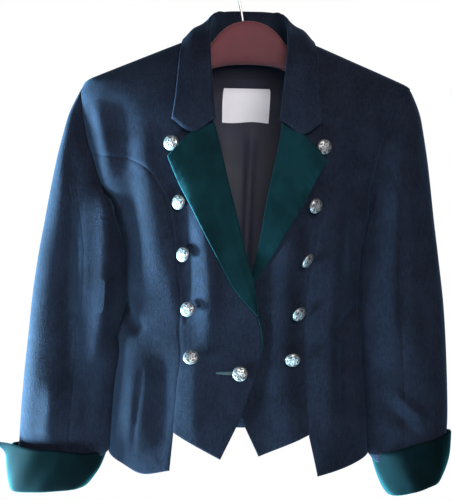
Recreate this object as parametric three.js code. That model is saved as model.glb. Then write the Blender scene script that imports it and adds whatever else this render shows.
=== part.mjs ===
// A short Tyrolean loden jacket with velvet lapels and cuffs, hanging on a clothes hanger.
//
// Millimetres. +Z is up, the front faces -Y and the wearer's left is +X. The origin is the point
// inside the top of the hanger's hook that rests on a rail.
//
// The body of the jacket is one form: level rings that a half width on each side, a front depth
// and a back depth describe at each height. It hangs a little to the wearer's right. A place on
// the form is a turn (0 at the centre front, 90 degrees at the side, 180 at the centre back) and a
// height z. Each panel is a patch of that form between
// its seam lines, with its folds added, and is given its thickness inwards. Seam lines are written
// as x and z on the panel's own side, so the wearer's right is worked out with x > 0 and mirrored.
// Neighbouring panels share the points of their seam, and each stops a little short of it.

import * as THREE from "three";

const LODEN = 2.2; // thickness of the wool cloth
const LAPEL = 2.6; // velvet on loden
const LINING = 1;
const LABEL = 0.7;
const SEAM_GAP = 0.2; // how far each panel stops short of its seam line
const LYING_GAP = 0.5; // between a panel and what lies on it
const HALF_TURN = Math.PI / 2;

// ---------------------------------------------------------------- the form of the body

// Level rings of the hanging jacket: the half width on the wearer's right and left. The shoulder
// line is where the rings of the upper rows end.
const FORM = [
  { z: -93, right: 66, left: 66, front: 14, back: 44 },
  { z: -99.5, right: 81.8, left: 81.8, front: 27, back: 50 },
  { z: -128, right: 149.5, left: 149.5, front: 47, back: 56 },
  { z: -150, right: 201.5, left: 201.5, front: 56, back: 60 },
  { z: -156.5, right: 216, left: 216, front: 58, back: 61 },
  { z: -161, right: 222, left: 222, front: 60, back: 62 },
  { z: -180, right: 228.5, left: 218, front: 65, back: 64 },
  { z: -200, right: 227.5, left: 212.5, front: 69, back: 66 },
  { z: -230, right: 222.5, left: 202, front: 73, back: 67.5 },
  { z: -260, right: 215.5, left: 191, front: 77, back: 68 },
  { z: -300, right: 201, left: 179, front: 81, back: 66 },
  { z: -342, right: 181, left: 172, front: 83, back: 63 },
  { z: -392, right: 169, left: 166, front: 81, back: 58 },
  { z: -455, right: 165, left: 164, front: 74, back: 52 },
  { z: -500, right: 175, left: 169, front: 68, back: 50 },
  { z: -526, right: 171, left: 169, front: 67, back: 50 },
  { z: -560, right: 176, left: 173, front: 69, back: 52 },
  { z: -610, right: 178.5, left: 175.5, front: 73, back: 56 },
  { z: -690, right: 180, left: 177, front: 77, back: 58 },
];
const ROUNDNESS = 0.8; // of a ring: 1 is an ellipse, less is boxier

const SHOULDER_TIP = { x: 222, z: -161 };
const NECK_POINT = { x: 66, z: -93 };
const ARMPIT = { right: { x: 181, z: -342 }, left: { x: 172, z: -342 } };

// Soft folds of the hanging cloth, ridges (+) and troughs (-) that run down the panels. x is given
// at the fold's top, middle and foot; width is the fold's half width.
const FRONT_FOLDS = {
  right: [
    { top: -262, foot: -640, xTop: 128, xMid: 78, xFoot: 88, width: 20, height: -10 },
    { top: -190, foot: -500, xTop: 130, xMid: 117, xFoot: 100, width: 16, height: 6 },
    { top: -225, foot: -470, xTop: 158, xMid: 149, xFoot: 142, width: 13, height: -6 },
    { top: -330, foot: -640, xTop: 62, xMid: 48, xFoot: 60, width: 18, height: 5 },
    { top: -480, foot: -720, xTop: 128, xMid: 134, xFoot: 136, width: 18, height: 6 },
  ],
  left: [
    { top: -262, foot: -640, xTop: 128, xMid: 78, xFoot: 88, width: 18, height: -10 },
    { top: -280, foot: -620, xTop: 142, xMid: 104, xFoot: 108, width: 14, height: 6 },
    { top: -220, foot: -480, xTop: 150, xMid: 147, xFoot: 150, width: 14, height: -6 },
    { top: -330, foot: -640, xTop: 56, xMid: 42, xFoot: 50, width: 18, height: 5 },
    { top: -500, foot: -720, xTop: 138, xMid: 144, xFoot: 146, width: 18, height: 4 },
  ],
};
const BACK_FOLDS = [
  { top: -190, foot: -560, xTop: 120, xMid: 96, xFoot: 84, width: 24, height: 6 },
  { top: -230, foot: -520, xTop: 58, xMid: 62, xFoot: 52, width: 18, height: -5 },
  { top: -180, foot: -600, xTop: -112, xMid: -88, xFoot: -92, width: 26, height: 6 },
  { top: -240, foot: -500, xTop: -50, xMid: -58, xFoot: -46, width: 16, height: -5 },
  { top: -420, foot: -700, xTop: 8, xMid: 4, xFoot: -6, width: 30, height: -5 },
];

// The value of a table's column at height z: a smooth curve through the rows, with no overshoot.
function column(table, name, z) {
  const last = table.length - 1;
  if (z >= table[0].z) return table[0][name];
  if (z <= table[last].z) return table[last][name];
  const i = table.findIndex((row) => row.z <= z) - 1;
  const slope = (j) =>
    (table[j + 1][name] - table[j][name]) / (table[j + 1].z - table[j].z);
  const tangent = (j) => {
    if (j === 0) return slope(0);
    if (j === last) return slope(last - 1);
    const [before, after] = [slope(j - 1), slope(j)];
    return before * after <= 0 ? 0 : (2 * before * after) / (before + after);
  };
  const step = table[i + 1].z - table[i].z;
  const t = (z - table[i].z) / step;
  const [t2, t3] = [t * t, t * t * t];
  return (
    (2 * t3 - 3 * t2 + 1) * table[i][name] +
    (t3 - 2 * t2 + t) * step * tangent(i) +
    (3 * t2 - 2 * t3) * table[i + 1][name] +
    (t3 - t2) * step * tangent(i + 1)
  );
}

function formPoint({ turn, z, side }) {
  const depth = column(FORM, Math.abs(turn) <= HALF_TURN ? "front" : "back", z);
  const towardsFront = Math.cos(turn);
  return new THREE.Vector3(
    column(FORM, side, z) * Math.sin(turn),
    -Math.sign(towardsFront) * depth * Math.abs(towardsFront) ** ROUNDNESS,
    z,
  );
}

// The form's outward normal, from short steps round the ring and down it.
function formNormal({ turn, z, side }) {
  const [dt, dz] = [0.02, 2];
  const beside = (t, h) => formPoint({ turn: turn + t, z: z + h, side });
  const round = beside(dt, 0).sub(beside(-dt, 0));
  const down = beside(0, -dz).sub(beside(0, dz));
  return down.cross(round).normalize();
}

const formX = ({ turn, z, side }) => column(FORM, side, z) * Math.sin(turn);

const smoothStep = (t) => {
  const s = Math.min(1, Math.max(0, t));
  return s * s * (3 - 2 * s);
};

// How far the folds of a list move the cloth out at x, z.
function foldHeight(folds, x, z) {
  let height = 0;
  for (const fold of folds) {
    const t = (z - fold.top) / (fold.foot - fold.top);
    if (t <= 0 || t >= 1) continue;
    const middle =
      fold.xTop * (1 - t) * (1 - 2 * t) + fold.xMid * 4 * t * (1 - t) + fold.xFoot * t * (2 * t - 1);
    const ends = smoothStep(t / 0.3) * smoothStep((1 - t) / 0.3);
    height += fold.height * ends * Math.exp(-(((x - middle) / fold.width) ** 2));
  }
  return height;
}

// The turn of a seam point given as x and z, at the front or at the back of its side.
function turnOf({ x, z }, side, atBack = false) {
  const turn = Math.asin(Math.max(-1, Math.min(1, x / column(FORM, side, z))));
  return atBack ? Math.PI - turn : turn;
}

// ---------------------------------------------------------------- seam lines

// The front's inner boundary from the hem's point to the neck, on each side: the buttoned edge up
// to the break, and the lapel's roll line above it. A minus x is past the centre front.
const FRONT_EDGE = {
  right: [
    { x: 26.5, z: -660 },
    { x: -1.2, z: -600 },
    { x: -21, z: -540 },
    { x: -25.8, z: -505 },
    { x: -19.7, z: -477 },
  ],
  left: [
    { x: 24.6, z: -656 },
    { x: -2, z: -600 },
    { x: -20, z: -540 },
    { x: -25, z: -505 },
    { x: -19, z: -477 },
  ],
};
const ROLL_LINE = {
  right: [
    { x: -19.7, z: -477 },
    { x: -13, z: -428 },
    { x: 0, z: -382 },
    { x: 16.8, z: -319 },
    { x: 31.2, z: -263 },
    { x: 43, z: -218 },
  ],
  left: [
    { x: -19, z: -477 },
    { x: 5, z: -432 },
    { x: 17, z: -382 },
    { x: 27.3, z: -319 },
    { x: 37.6, z: -265 },
    { x: 46, z: -218 },
  ],
};
const FRONT_NECK = [
  { x: 44.5, z: -218 },
  { x: 51, z: -176 },
  { x: 56.5, z: -140 },
  { x: 61.5, z: -112 },
  NECK_POINT,
];
const BACK_NECK = [NECK_POINT, { x: 52, z: -95 }, { x: 30, z: -97.5 }, { x: 0, z: -99 }];
const ARMHOLE_UPPER = {
  right: [
    SHOULDER_TIP,
    { x: 226, z: -181 },
    { x: 221.5, z: -212 },
    { x: 216, z: -238 },
    { x: 209, z: -259 },
  ],
  left: [
    SHOULDER_TIP,
    { x: 209, z: -173 },
    { x: 195, z: -201 },
    { x: 181, z: -240 },
    { x: 176, z: -259 },
  ],
};
const ARMHOLE_LOWER = {
  right: [
    { x: 209, z: -259 },
    { x: 197, z: -294 },
    { x: 187, z: -318 },
    { x: 181, z: -334 },
    ARMPIT.right,
  ],
  left: [
    { x: 176, z: -259 },
    { x: 169.5, z: -287 },
    { x: 166.5, z: -314 },
    { x: 168, z: -332 },
    ARMPIT.left,
  ],
};
const ARMHOLE_BACK = {
  right: [
    ARMPIT.right,
    { x: 181, z: -328 },
    { x: 185, z: -306 },
    { x: 192, z: -276 },
    { x: 201, z: -242 },
    { x: 209, z: -208 },
    { x: 217, z: -180 },
    SHOULDER_TIP,
  ],
  left: [
    ARMPIT.left,
    { x: 172, z: -327 },
    { x: 172, z: -305 },
    { x: 175.5, z: -275 },
    { x: 183, z: -240 },
    { x: 193, z: -206 },
    { x: 207, z: -179 },
    SHOULDER_TIP,
  ],
};
// The curved seam from the armhole past the bust to the hem.
const PRINCESS_LOWER = [
  { x: 90, z: -627 },
  { x: 86, z: -565 },
  { x: 83, z: -510 },
  { x: 83.5, z: -460 },
  { x: 92, z: -391 },
  { x: 111, z: -308 },
];
const PRINCESS = {
  right: [...PRINCESS_LOWER, { x: 148, z: -270 }, { x: 209, z: -259 }],
  left: [...PRINCESS_LOWER, { x: 138, z: -273 }, { x: 176, z: -259 }],
};
// The side front hangs lower than the front, and its edge is free down to this foot.
const STEP_FOOT = { right: { x: 93, z: -677 }, left: { x: 103, z: -681 } };
const SIDE_HEM = {
  right: [STEP_FOOT.right, { x: 130, z: -683.5 }, { x: 159, z: -672 }, { x: 179.5, z: -658 }],
  left: [STEP_FOOT.left, { x: 139, z: -671 }, { x: 160, z: -663 }, { x: 176.5, z: -650 }],
};
const BACK_HEM_Z = -634; // at the centre back

// ---------------------------------------------------------------- patches and walls

// How many steps each shared seam is cut into.
const STEPS = {
  princess: 12,
  stepEdge: 2,
  armholeUpper: 5,
  armholeLower: 7,
  armholeBack: 6,
  shoulder: 4,
  backNeck: 3,
};

// Points evenly along a smooth line through seam points, as turn and height.
function seamLine(points, steps, side, atBack = false) {
  const places = points.map((p) => new THREE.Vector2(turnOf(p, side, atBack) * 100, p.z));
  const line =
    places.length > 2 ? new THREE.SplineCurve(places) : new THREE.LineCurve(...places);
  return line.getSpacedPoints(steps).map((p) => ({ turn: p.x / 100, z: p.y }));
}

// The shoulder seam is the form's own ridge, evenly divided from the neck to the tip.
function shoulderLine(steps) {
  return Array.from({ length: steps + 1 }, (_, i) => ({
    turn: HALF_TURN,
    z: NECK_POINT.z + ((SHOULDER_TIP.z - NECK_POINT.z) * i) / steps,
  }));
}

const joined = (...lines) => lines.flatMap((line, i) => (i ? line.slice(1) : line));
const reversed = (line) => [...line].reverse();

// Places inside four boundary lines, blended from all four (a Coons patch). A lean over 1 keeps
// the pull of the top line to the rows close under it.
function patch({ bottom, top, start, end, lean = 1 }) {
  const rows = start.length - 1;
  const columns = bottom.length - 1;
  const blend = (key, i, j) => {
    const [u, v] = [i / columns, (j / rows) ** lean];
    const corners =
      (1 - u) * (1 - v) * bottom[0][key] +
      u * (1 - v) * bottom[columns][key] +
      (1 - u) * v * top[0][key] +
      u * v * top[columns][key];
    return (
      (1 - v) * bottom[i][key] +
      v * top[i][key] +
      (1 - u) * start[j][key] +
      u * end[j][key] -
      corners
    );
  };
  return Array.from({ length: rows + 1 }, (_, j) =>
    Array.from({ length: columns + 1 }, (_, i) => ({
      turn: blend("turn", i, j),
      z: blend("z", i, j),
      u: i / columns,
      v: j / rows,
    })),
  );
}

// Moves the rim of a grid of points inwards over the surface, to leave the seam's gap.
function drawnIn(grid, gap) {
  const [lastRow, lastColumn] = [grid.length - 1, grid[0].length - 1];
  return grid.map((row, j) =>
    row.map((point, i) => {
      const di = i === 0 ? 1 : i === lastColumn ? -1 : 0;
      const dj = j === 0 ? 1 : j === lastRow ? -1 : 0;
      if (!di && !dj) return point.clone();
      const inside = grid[j + dj][i + di].clone().sub(point);
      return point.clone().addScaledVector(inside.normalize(), gap * Math.hypot(di, dj));
    }),
  );
}

// A closed wall between two grids of points with the same rows and columns.
function wallGeometry(outer, inner) {
  const [rows, columns] = [outer.length, outer[0].length];
  const positions = [...outer.flat(), ...inner.flat()].flatMap((p) => [p.x, p.y, p.z]);
  const layer = rows * columns;
  const at = (j, i, side) => j * columns + i + side * layer;
  const faces = [];
  const quad = (a, b, c, d) => faces.push([a, b, c], [a, c, d]);
  for (let j = 0; j < rows - 1; j++)
    for (let i = 0; i < columns - 1; i++) {
      quad(at(j, i, 0), at(j, i + 1, 0), at(j + 1, i + 1, 0), at(j + 1, i, 0));
      quad(at(j, i, 1), at(j + 1, i, 1), at(j + 1, i + 1, 1), at(j, i + 1, 1));
    }
  for (let i = 0; i < columns - 1; i++) {
    quad(at(0, i + 1, 0), at(0, i, 0), at(0, i, 1), at(0, i + 1, 1));
    quad(at(rows - 1, i, 0), at(rows - 1, i + 1, 0), at(rows - 1, i + 1, 1), at(rows - 1, i, 1));
  }
  for (let j = 0; j < rows - 1; j++) {
    quad(at(j, 0, 0), at(j + 1, 0, 0), at(j + 1, 0, 1), at(j, 0, 1));
    quad(at(j + 1, columns - 1, 0), at(j, columns - 1, 0), at(j, columns - 1, 1), at(j + 1, columns - 1, 1));
  }
  return facingOut(positions, faces);
}

// Turns every face round if together they enclose a negative volume.
function facingOut(positions, faces) {
  const corner = (i) => new THREE.Vector3(...positions.slice(3 * i, 3 * i + 3));
  let volume = 0;
  for (const [a, b, c] of faces) volume += corner(a).dot(corner(b).cross(corner(c)));
  const index = volume < 0 ? faces.flatMap(([a, b, c]) => [a, c, b]) : faces.flat();
  const geometry = new THREE.BufferGeometry();
  geometry.setAttribute("position", new THREE.Float32BufferAttribute(positions, 3));
  geometry.setIndex(index);
  geometry.computeVertexNormals();
  return geometry;
}

const mirrored = (grid, side) =>
  grid.map((row) => row.map((p) => new THREE.Vector3(side === "right" ? -p.x : p.x, p.y, p.z)));

// A wall on the form: outer face at lift, inner face its thickness further in.
function formWall(places, { lift, thickness, gap = SEAM_GAP, side = "left" }) {
  const faceAt = (depth) =>
    mirrored(
      drawnIn(
        places.map((row) =>
          row.map((place) =>
            formPoint(place).addScaledVector(formNormal(place), lift(place) - depth),
          ),
        ),
        gap,
      ),
      side,
    );
  return wallGeometry(faceAt(0), faceAt(thickness));
}

// ---------------------------------------------------------------- materials

const material = (colour, roughness, metalness = 0) =>
  new THREE.MeshStandardMaterial({ color: colour, roughness, metalness });
const loden = material("#141b2a", 0.95);
const velvet = material("#0c3f42", 0.8);
const liningCloth = material("#23253a", 0.6);
const labelCloth = material("#e6e6ea", 0.7);
const silver = material("#b9bcbf", 0.35, 1);
const flock = material("#6b3a40", 0.85);
const wire = material("#cdc6bb", 0.3, 1);

const jacket = new THREE.Group();
function add(name, geometry, look, parent = jacket) {
  const mesh = new THREE.Mesh(geometry, look);
  mesh.name = name;
  parent.add(mesh);
  return mesh;
}

// ---------------------------------------------------------------- fronts, side fronts, back

// The left front goes under the right one where they overlap, and so does its lapel.
const UNDERLAP = 11;
function tuck({ side, z }, x) {
  if (side === "right") return 0;
  return -UNDERLAP * smoothStep((80 - x) / 52) * smoothStep((-352 - z) / 50);
}

function frontLift(place) {
  const x = formX(place);
  return foldHeight(FRONT_FOLDS[place.side], x, place.z) + tuck(place, x);
}

// The same places, each with the side of the form that it lies on.
const onSide = (grid, side) => grid.map((row) => row.map((place) => ({ ...place, side })));

// Rows of a front's inner boundary: the edge, the roll line and the neck, each an even share.
const EDGE_STEPS = { edge: 4, roll: 5, neck: 3 };

function frontPlaces(side) {
  const inner = joined(
    seamLine(FRONT_EDGE[side], EDGE_STEPS.edge, side),
    seamLine(ROLL_LINE[side], EDGE_STEPS.roll, side),
    seamLine(FRONT_NECK, EDGE_STEPS.neck, side),
  );
  const places = patch({
    start: inner,
    end: seamLine(PRINCESS[side], STEPS.princess, side),
    bottom: seamLine(
      [FRONT_EDGE[side][0], PRINCESS[side][0]],
      STEPS.shoulder + STEPS.armholeUpper,
      side,
    ),
    top: joined(
      shoulderLine(STEPS.shoulder),
      seamLine(ARMHOLE_UPPER[side], STEPS.armholeUpper, side),
    ),
  });
  return onSide(places, side);
}

function sideFrontPlaces(side) {
  const seam = joined(
    seamLine([STEP_FOOT[side], PRINCESS[side][0]], STEPS.stepEdge, side),
    seamLine(PRINCESS[side], STEPS.princess, side),
  );
  const hem = seamLine(SIDE_HEM[side], STEPS.armholeLower, side);
  hem[hem.length - 1].turn = HALF_TURN;
  const places = patch({
    start: seam,
    end: sideSeam(side),
    bottom: hem,
    top: seamLine(ARMHOLE_LOWER[side], STEPS.armholeLower, side),
  });
  return onSide(places, side);
}

// The side seam runs straight up the form from the hem to the armpit.
function sideSeam(side) {
  const foot = SIDE_HEM[side][SIDE_HEM[side].length - 1].z;
  const steps = STEPS.princess + STEPS.stepEdge;
  return Array.from({ length: steps + 1 }, (_, i) => ({
    turn: HALF_TURN,
    z: foot + ((ARMPIT[side].z - foot) * i) / steps,
  }));
}

const farSide = (line) => line.map(({ turn, z }) => ({ turn: 2 * Math.PI - turn, z }));

// The back runs from the left side seam past the centre back to the right one.
function backPlaces() {
  const halfTop = (side) =>
    joined(
      reversed(shoulderLine(STEPS.shoulder)),
      seamLine(BACK_NECK, STEPS.backNeck, side, true),
    );
  const edge = (side) =>
    joined(sideSeam(side), seamLine(ARMHOLE_BACK[side], STEPS.armholeBack, side, true));
  const hemSteps = 2 * (STEPS.shoulder + STEPS.backNeck);
  const [footLeft, footRight] = ["left", "right"].map((side) => sideSeam(side)[0].z);
  const hem = Array.from({ length: hemSteps + 1 }, (_, i) => {
    const share = i / hemSteps;
    const foot = footLeft + (footRight - footLeft) * share;
    return {
      turn: HALF_TURN + Math.PI * share,
      z: foot + (BACK_HEM_Z - foot) * Math.sin(Math.PI * share),
    };
  });
  const places = patch({
    start: edge("left"),
    end: farSide(edge("right")),
    bottom: hem,
    top: joined(halfTop("left"), farSide(reversed(halfTop("right")))),
    lean: 4,
  });
  return places.map((row) =>
    row.map((place) => ({ ...place, side: place.turn > Math.PI ? "right" : "left" })),
  );
}

const backLift = (place) => foldHeight(BACK_FOLDS, formX(place), place.z);

for (const side of ["right", "left"]) {
  const cut = { lift: frontLift, thickness: LODEN, side };
  add("front_" + side, formWall(frontPlaces(side), cut), loden);
  add("side_front_" + side, formWall(sideFrontPlaces(side), cut), loden);
}
add("back", formWall(backPlaces(), { lift: backLift, thickness: LODEN }), loden);

// ---------------------------------------------------------------- lapels

const NOTCH = { x: 72.8, z: -232.8 }; // where the lapel leaves the collar
const PEAK = { x: 101.5, z: -265.7 };
const LAPEL_EDGE = {
  right: [{ x: -17, z: -470 }, { x: 14, z: -434 }, { x: 41.8, z: -382 }, { x: 77.5, z: -317 }, PEAK],
  left: [{ x: -15, z: -468 }, { x: 27, z: -408 }, { x: 50.3, z: -364 }, { x: 74.4, z: -321 }, PEAK],
};
const PEAK_LIFT = 10; // how far the lapel's point stands off the chest
const EDGE_LIFT = 1.5;
const UNDER_LAPEL_GAP = { right: 0, left: 1.6 }; // more where the left front turns under
const ROLL_START = { right: { x: -20, z: -470 }, left: { x: -18, z: -468 } };

for (const side of ["right", "left"]) {
  const rows = 9;
  const places = patch({
    start: seamLine([ROLL_START[side], ...ROLL_LINE[side].slice(1)], rows, side),
    end: seamLine(LAPEL_EDGE[side], rows, side),
    bottom: seamLine([ROLL_START[side], LAPEL_EDGE[side][0]], 5, side),
    top: joined(
      seamLine([ROLL_LINE[side][ROLL_LINE[side].length - 1], NOTCH], 2, side),
      seamLine([NOTCH, PEAK], 3, side),
    ),
  });
  const lift = (place) =>
    frontLift(place) +
    LYING_GAP +
    LAPEL +
    UNDER_LAPEL_GAP[side] +
    EDGE_LIFT * smoothStep(place.u / 0.4) +
    PEAK_LIFT * place.u * smoothStep((place.v - 0.35) / 0.6);
  const cut = { lift, thickness: LAPEL, gap: 0.3, side };
  add("lapel_" + side, formWall(onSide(places, side), cut), velvet);
}

// ---------------------------------------------------------------- collar

// Sections of the collar from the centre back to its front end on the left: the leaf's free edge,
// the middle of the leaf, the roll and the neck seam. The last section's middle is the notch.
const COLLAR = [
  { leaf: [0, 73, -100], mid: [0, 71.5, -74], roll: [0, 62, -50], seam: [0, 53, -96] },
  { leaf: [34, 70, -100], mid: [30, 68, -74], roll: [25, 59, -50.5], seam: [25, 50, -96] },
  { leaf: [63, 55, -99.5], mid: [55, 53, -76], roll: [43, 46, -53.5], seam: [44, 39, -94] },
  { leaf: [81, 30, -96.5], mid: [70, 29, -80], roll: [52, 25, -62], seam: [57, 20, -91] },
  { leaf: [89, 1, -98.5], mid: [76, 0, -85], roll: [54.5, 1, -76], seam: [62.5, 0, -91] },
  { leaf: [92, -42, -120], mid: [78, -37, -108], roll: [54.5, -31, -97], seam: [55.5, -29, -108] },
  { leaf: [93.5, -61, -150], mid: [77, -60, -143], roll: [52.5, -54.5, -133], seam: [52, -50, -141] },
  { leaf: [96, -70.5, -185], mid: [76, -72, -186], roll: [48.5, -69, -175], seam: [47.5, -64.5, -180] },
  { leaf: [99.9, -76, -214.3], mid: [73.2, -81, -231.2], roll: [44.5, -80, -213.6], seam: [43.5, -76.5, -214] },
];
const COLLAR_WALL = 2.4;
const ROLL_RADIUS = 2.6;
const COLLAR_STEPS = 24;

// A line through one column of the sections, all the way round the neck.
function collarLine(name) {
  const leftHalf = COLLAR.map((row) => new THREE.Vector3(...row[name]));
  const rightHalf = leftHalf.slice(1).map((p) => new THREE.Vector3(-p.x, p.y, p.z));
  const curve = new THREE.CatmullRomCurve3([...rightHalf.reverse(), ...leftHalf]);
  return curve.getPoints(COLLAR_STEPS);
}

function collarGrid() {
  const [leaf, mid, roll, seam] = ["leaf", "mid", "roll", "seam"].map(collarLine);
  return leaf.map((edge, k) => {
    const outwards = mid[k].clone().sub(roll[k]).setZ(0).normalize();
    const besideRoll = (share) =>
      roll[k]
        .clone()
        .addScaledVector(outwards, share * ROLL_RADIUS)
        .add(new THREE.Vector3(0, 0, -ROLL_RADIUS));
    return [edge, mid[k], besideRoll(1.3), roll[k], besideRoll(-0.7), seam[k]];
  });
}

// A wall of even thickness about a grid of points, by the grid's own normals.
function wallAbout(grid, thickness, gap = 0) {
  const [rows, columns] = [grid.length, grid[0].length];
  const normals = grid.map((row, j) =>
    row.map((_, i) => {
      const along = grid[Math.min(rows - 1, j + 1)][i].clone().sub(grid[Math.max(0, j - 1)][i]);
      const across = row[Math.min(columns - 1, i + 1)].clone().sub(row[Math.max(0, i - 1)]);
      return along.cross(across).normalize();
    }),
  );
  const faceAt = (share) =>
    drawnIn(
      grid.map((row, j) =>
        row.map((p, i) => p.clone().addScaledVector(normals[j][i], share * thickness)),
      ),
      gap,
    );
  return wallGeometry(faceAt(0.5), faceAt(-0.5));
}

add("collar", wallAbout(collarGrid(), COLLAR_WALL, SEAM_GAP), loden);

// ---------------------------------------------------------------- sleeves

// Level rings of the hanging sleeves, below the armpit, on each side: the ring's inner and outer x
// and its front and back y.
const SLEEVE = {
  right: [
    { z: -350, inner: 183, outer: 272.5, front: -47, back: 50 },
    { z: -392, inner: 170.5, outer: 279, front: -46, back: 52 },
    { z: -455, inner: 166.5, outer: 287, front: -44, back: 49 },
    { z: -500, inner: 177.6, outer: 291, front: -41, back: 46 },
    { z: -526, inner: 172.8, outer: 293.5, front: -39, back: 44 },
    { z: -560, inner: 177.5, outer: 296.5, front: -37, back: 41 },
    { z: -606, inner: 180, outer: 299.7, front: -34, back: 37 },
    { z: -650, inner: 182.5, outer: 301.5, front: -31, back: 33 },
    { z: -705, inner: 210, outer: 305, front: -27, back: 27 },
  ],
  left: [
    { z: -350, inner: 174, outer: 260, front: -47, back: 52 },
    { z: -392, inner: 167.5, outer: 266, front: -47, back: 53 },
    { z: -455, inner: 165.5, outer: 274, front: -47, back: 51 },
    { z: -505, inner: 170.5, outer: 278, front: -45, back: 48 },
    { z: -560, inner: 174.5, outer: 281, front: -42, back: 44 },
    { z: -606, inner: 177, outer: 282.5, front: -39, back: 41 },
    { z: -650, inner: 182, outer: 280, front: -36, back: 37 },
    { z: -684, inner: 197, outer: 270, front: -33, back: 33 },
  ],
};
const SLEEVE_ROUNDNESS = 0.92;
const CAP_ROWS = 5;
const TUBE_ROWS = 9;
// Sleeve columns run from the shoulder tip round the front, the armpit and the back. The under
// sleeve takes the stretch about the armpit.
const UNDER_FROM = STEPS.armholeUpper;
const UNDER_TO = STEPS.armholeUpper + STEPS.armholeLower + 2;

// Folds of a sleeve, by the ring's angle in degrees (0 outwards, 90 forwards, 180 inwards).
const SLEEVE_FOLDS = {
  right: [
    { top: -230, foot: -640, angle: 84, width: 26, height: -8 },
    { top: -300, foot: -600, angle: 262, width: 30, height: -6 },
  ],
  left: [
    { top: -260, foot: -620, angle: 70, width: 24, height: -5 },
    { top: -300, foot: -620, angle: 275, width: 30, height: -6 },
  ],
};

function sleeveRing(side, angle, z) {
  const row = SLEEVE[side];
  const [inner, outer] = [column(row, "inner", z), column(row, "outer", z)];
  const [front, back] = [column(row, "front", z), column(row, "back", z)];
  const forwards = Math.sin(angle);
  const reach = Math.sign(forwards) * Math.abs(forwards) ** SLEEVE_ROUNDNESS;
  return new THREE.Vector3(
    (inner + outer) / 2 + ((outer - inner) / 2) * Math.cos(angle),
    (front + back) / 2 - ((back - front) / 2) * reach,
    z,
  );
}

// The armhole's points in the sleeve's order, each on the cloth, with the form's normal there.
function armholeLoop(side) {
  const places = joined(
    seamLine(ARMHOLE_UPPER[side], STEPS.armholeUpper, side),
    seamLine(ARMHOLE_LOWER[side], STEPS.armholeLower, side),
    seamLine(ARMHOLE_BACK[side], STEPS.armholeBack, side, true),
  );
  return places.map(({ turn, z }) => {
    const place = { turn, z, side };
    const normal = formNormal({ ...place, z: z > SHOULDER_TIP.z - 2 ? z + 4 : z });
    const atBack = foldHeight(BACK_FOLDS, (side === "right" ? -1 : 1) * formX(place), z);
    const lift = turn > HALF_TURN ? atBack : frontLift(place);
    return { point: formPoint(place).addScaledVector(normal, lift), normal };
  });
}

// A smooth line from a to b that leaves a along from and reaches b along into.
function sweep(a, b, from, into, t) {
  const [t2, t3] = [t * t, t * t * t];
  return new THREE.Vector3()
    .addScaledVector(a, 2 * t3 - 3 * t2 + 1)
    .addScaledVector(from, t3 - 2 * t2 + t)
    .addScaledVector(b, 3 * t2 - 2 * t3)
    .addScaledVector(into, t3 - t2);
}

function sleeveGrid(side) {
  const loop = armholeLoop(side);
  const count = loop.length - 1;
  const top = SLEEVE[side][0].z;
  const hem = SLEEVE[side][SLEEVE[side].length - 1].z;
  return loop.map(({ point: start, normal }, k) => {
    const angle = (2 * Math.PI * k) / count;
    const ring = sleeveRing(side, angle, top);
    const reach = start.distanceTo(ring);
    const sideways = Math.sin(angle) ** 2;
    const outwards = new THREE.Vector3(
      0.42 + 0.5 * sideways,
      -0.35 * Math.sin(angle),
      -0.9 + 0.5 * sideways,
    );
    const into = sleeveRing(side, angle, top - 10).sub(ring).normalize().multiplyScalar(reach);
    const cap = Array.from({ length: CAP_ROWS }, (_, j) =>
      sweep(start, ring, outwards.clone().multiplyScalar(reach * 0.9), into, j / CAP_ROWS),
    );
    const tube = Array.from({ length: TUBE_ROWS + 1 }, (_, j) =>
      sleeveRing(side, angle, top + ((hem - top) * j) / TUBE_ROWS),
    );
    return { line: [...cap, ...tube], normal, angle };
  });
}

// Grids of the sleeve's outer and inner face. At the shoulder tip the seam takes the body's own
// normal, so that the two walls meet edge to edge.
function sleeveFaces(side) {
  const columns = sleeveGrid(side);
  const count = columns.length - 1;
  const rows = columns[0].line.length;
  const centre = (j) => {
    const sum = new THREE.Vector3();
    for (let k = 0; k < count; k++) sum.add(columns[k].line[j]);
    return sum.divideScalar(count);
  };
  const outer = [];
  const inner = [];
  for (let j = 0; j < rows; j++) {
    const middle = centre(j);
    outer.push([]);
    inner.push([]);
    for (let k = 0; k <= count; k++) {
      const { line, normal: bodyNormal, angle } = columns[k];
      const before = columns[(k - 1 + count) % count].line[j];
      const after = columns[(k + 1) % count].line[j];
      const down = line[Math.min(rows - 1, j + 1)].clone().sub(line[Math.max(0, j - 1)]);
      const normal = after.clone().sub(before).cross(down).normalize();
      const point = line[j].clone();
      if (j > 0 && normal.dot(point.clone().sub(middle)) < 0) normal.negate();
      if (j === 0) {
        const away = line[1].clone().sub(point);
        if (normal.dot(columns[k].line[2].clone().sub(centre(2))) < 0) normal.negate();
        const nearTip = smoothStep(1 - Math.min(angle, 2 * Math.PI - angle) / 0.7);
        normal.lerp(bodyNormal, nearTip).normalize();
        point.addScaledVector(away.normalize(), 2 * SEAM_GAP);
      }
      const degrees = THREE.MathUtils.radToDeg(angle);
      let height = 0;
      for (const fold of SLEEVE_FOLDS[side]) {
        const t = (point.z - fold.top) / (fold.foot - fold.top);
        if (t <= 0 || t >= 1 || j < 2) continue;
        const ends = smoothStep(t / 0.3) * smoothStep((1 - t) / 0.3);
        height += fold.height * ends * Math.exp(-(((degrees - fold.angle) / fold.width) ** 2));
      }
      point.addScaledVector(normal, height);
      outer[j].push(point);
      inner[j].push(point.clone().addScaledVector(normal, -LODEN));
    }
  }
  return [outer, inner];
}

const slice = (grid, from, to) => grid.map((row) => row.slice(from, to + 1));

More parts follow.
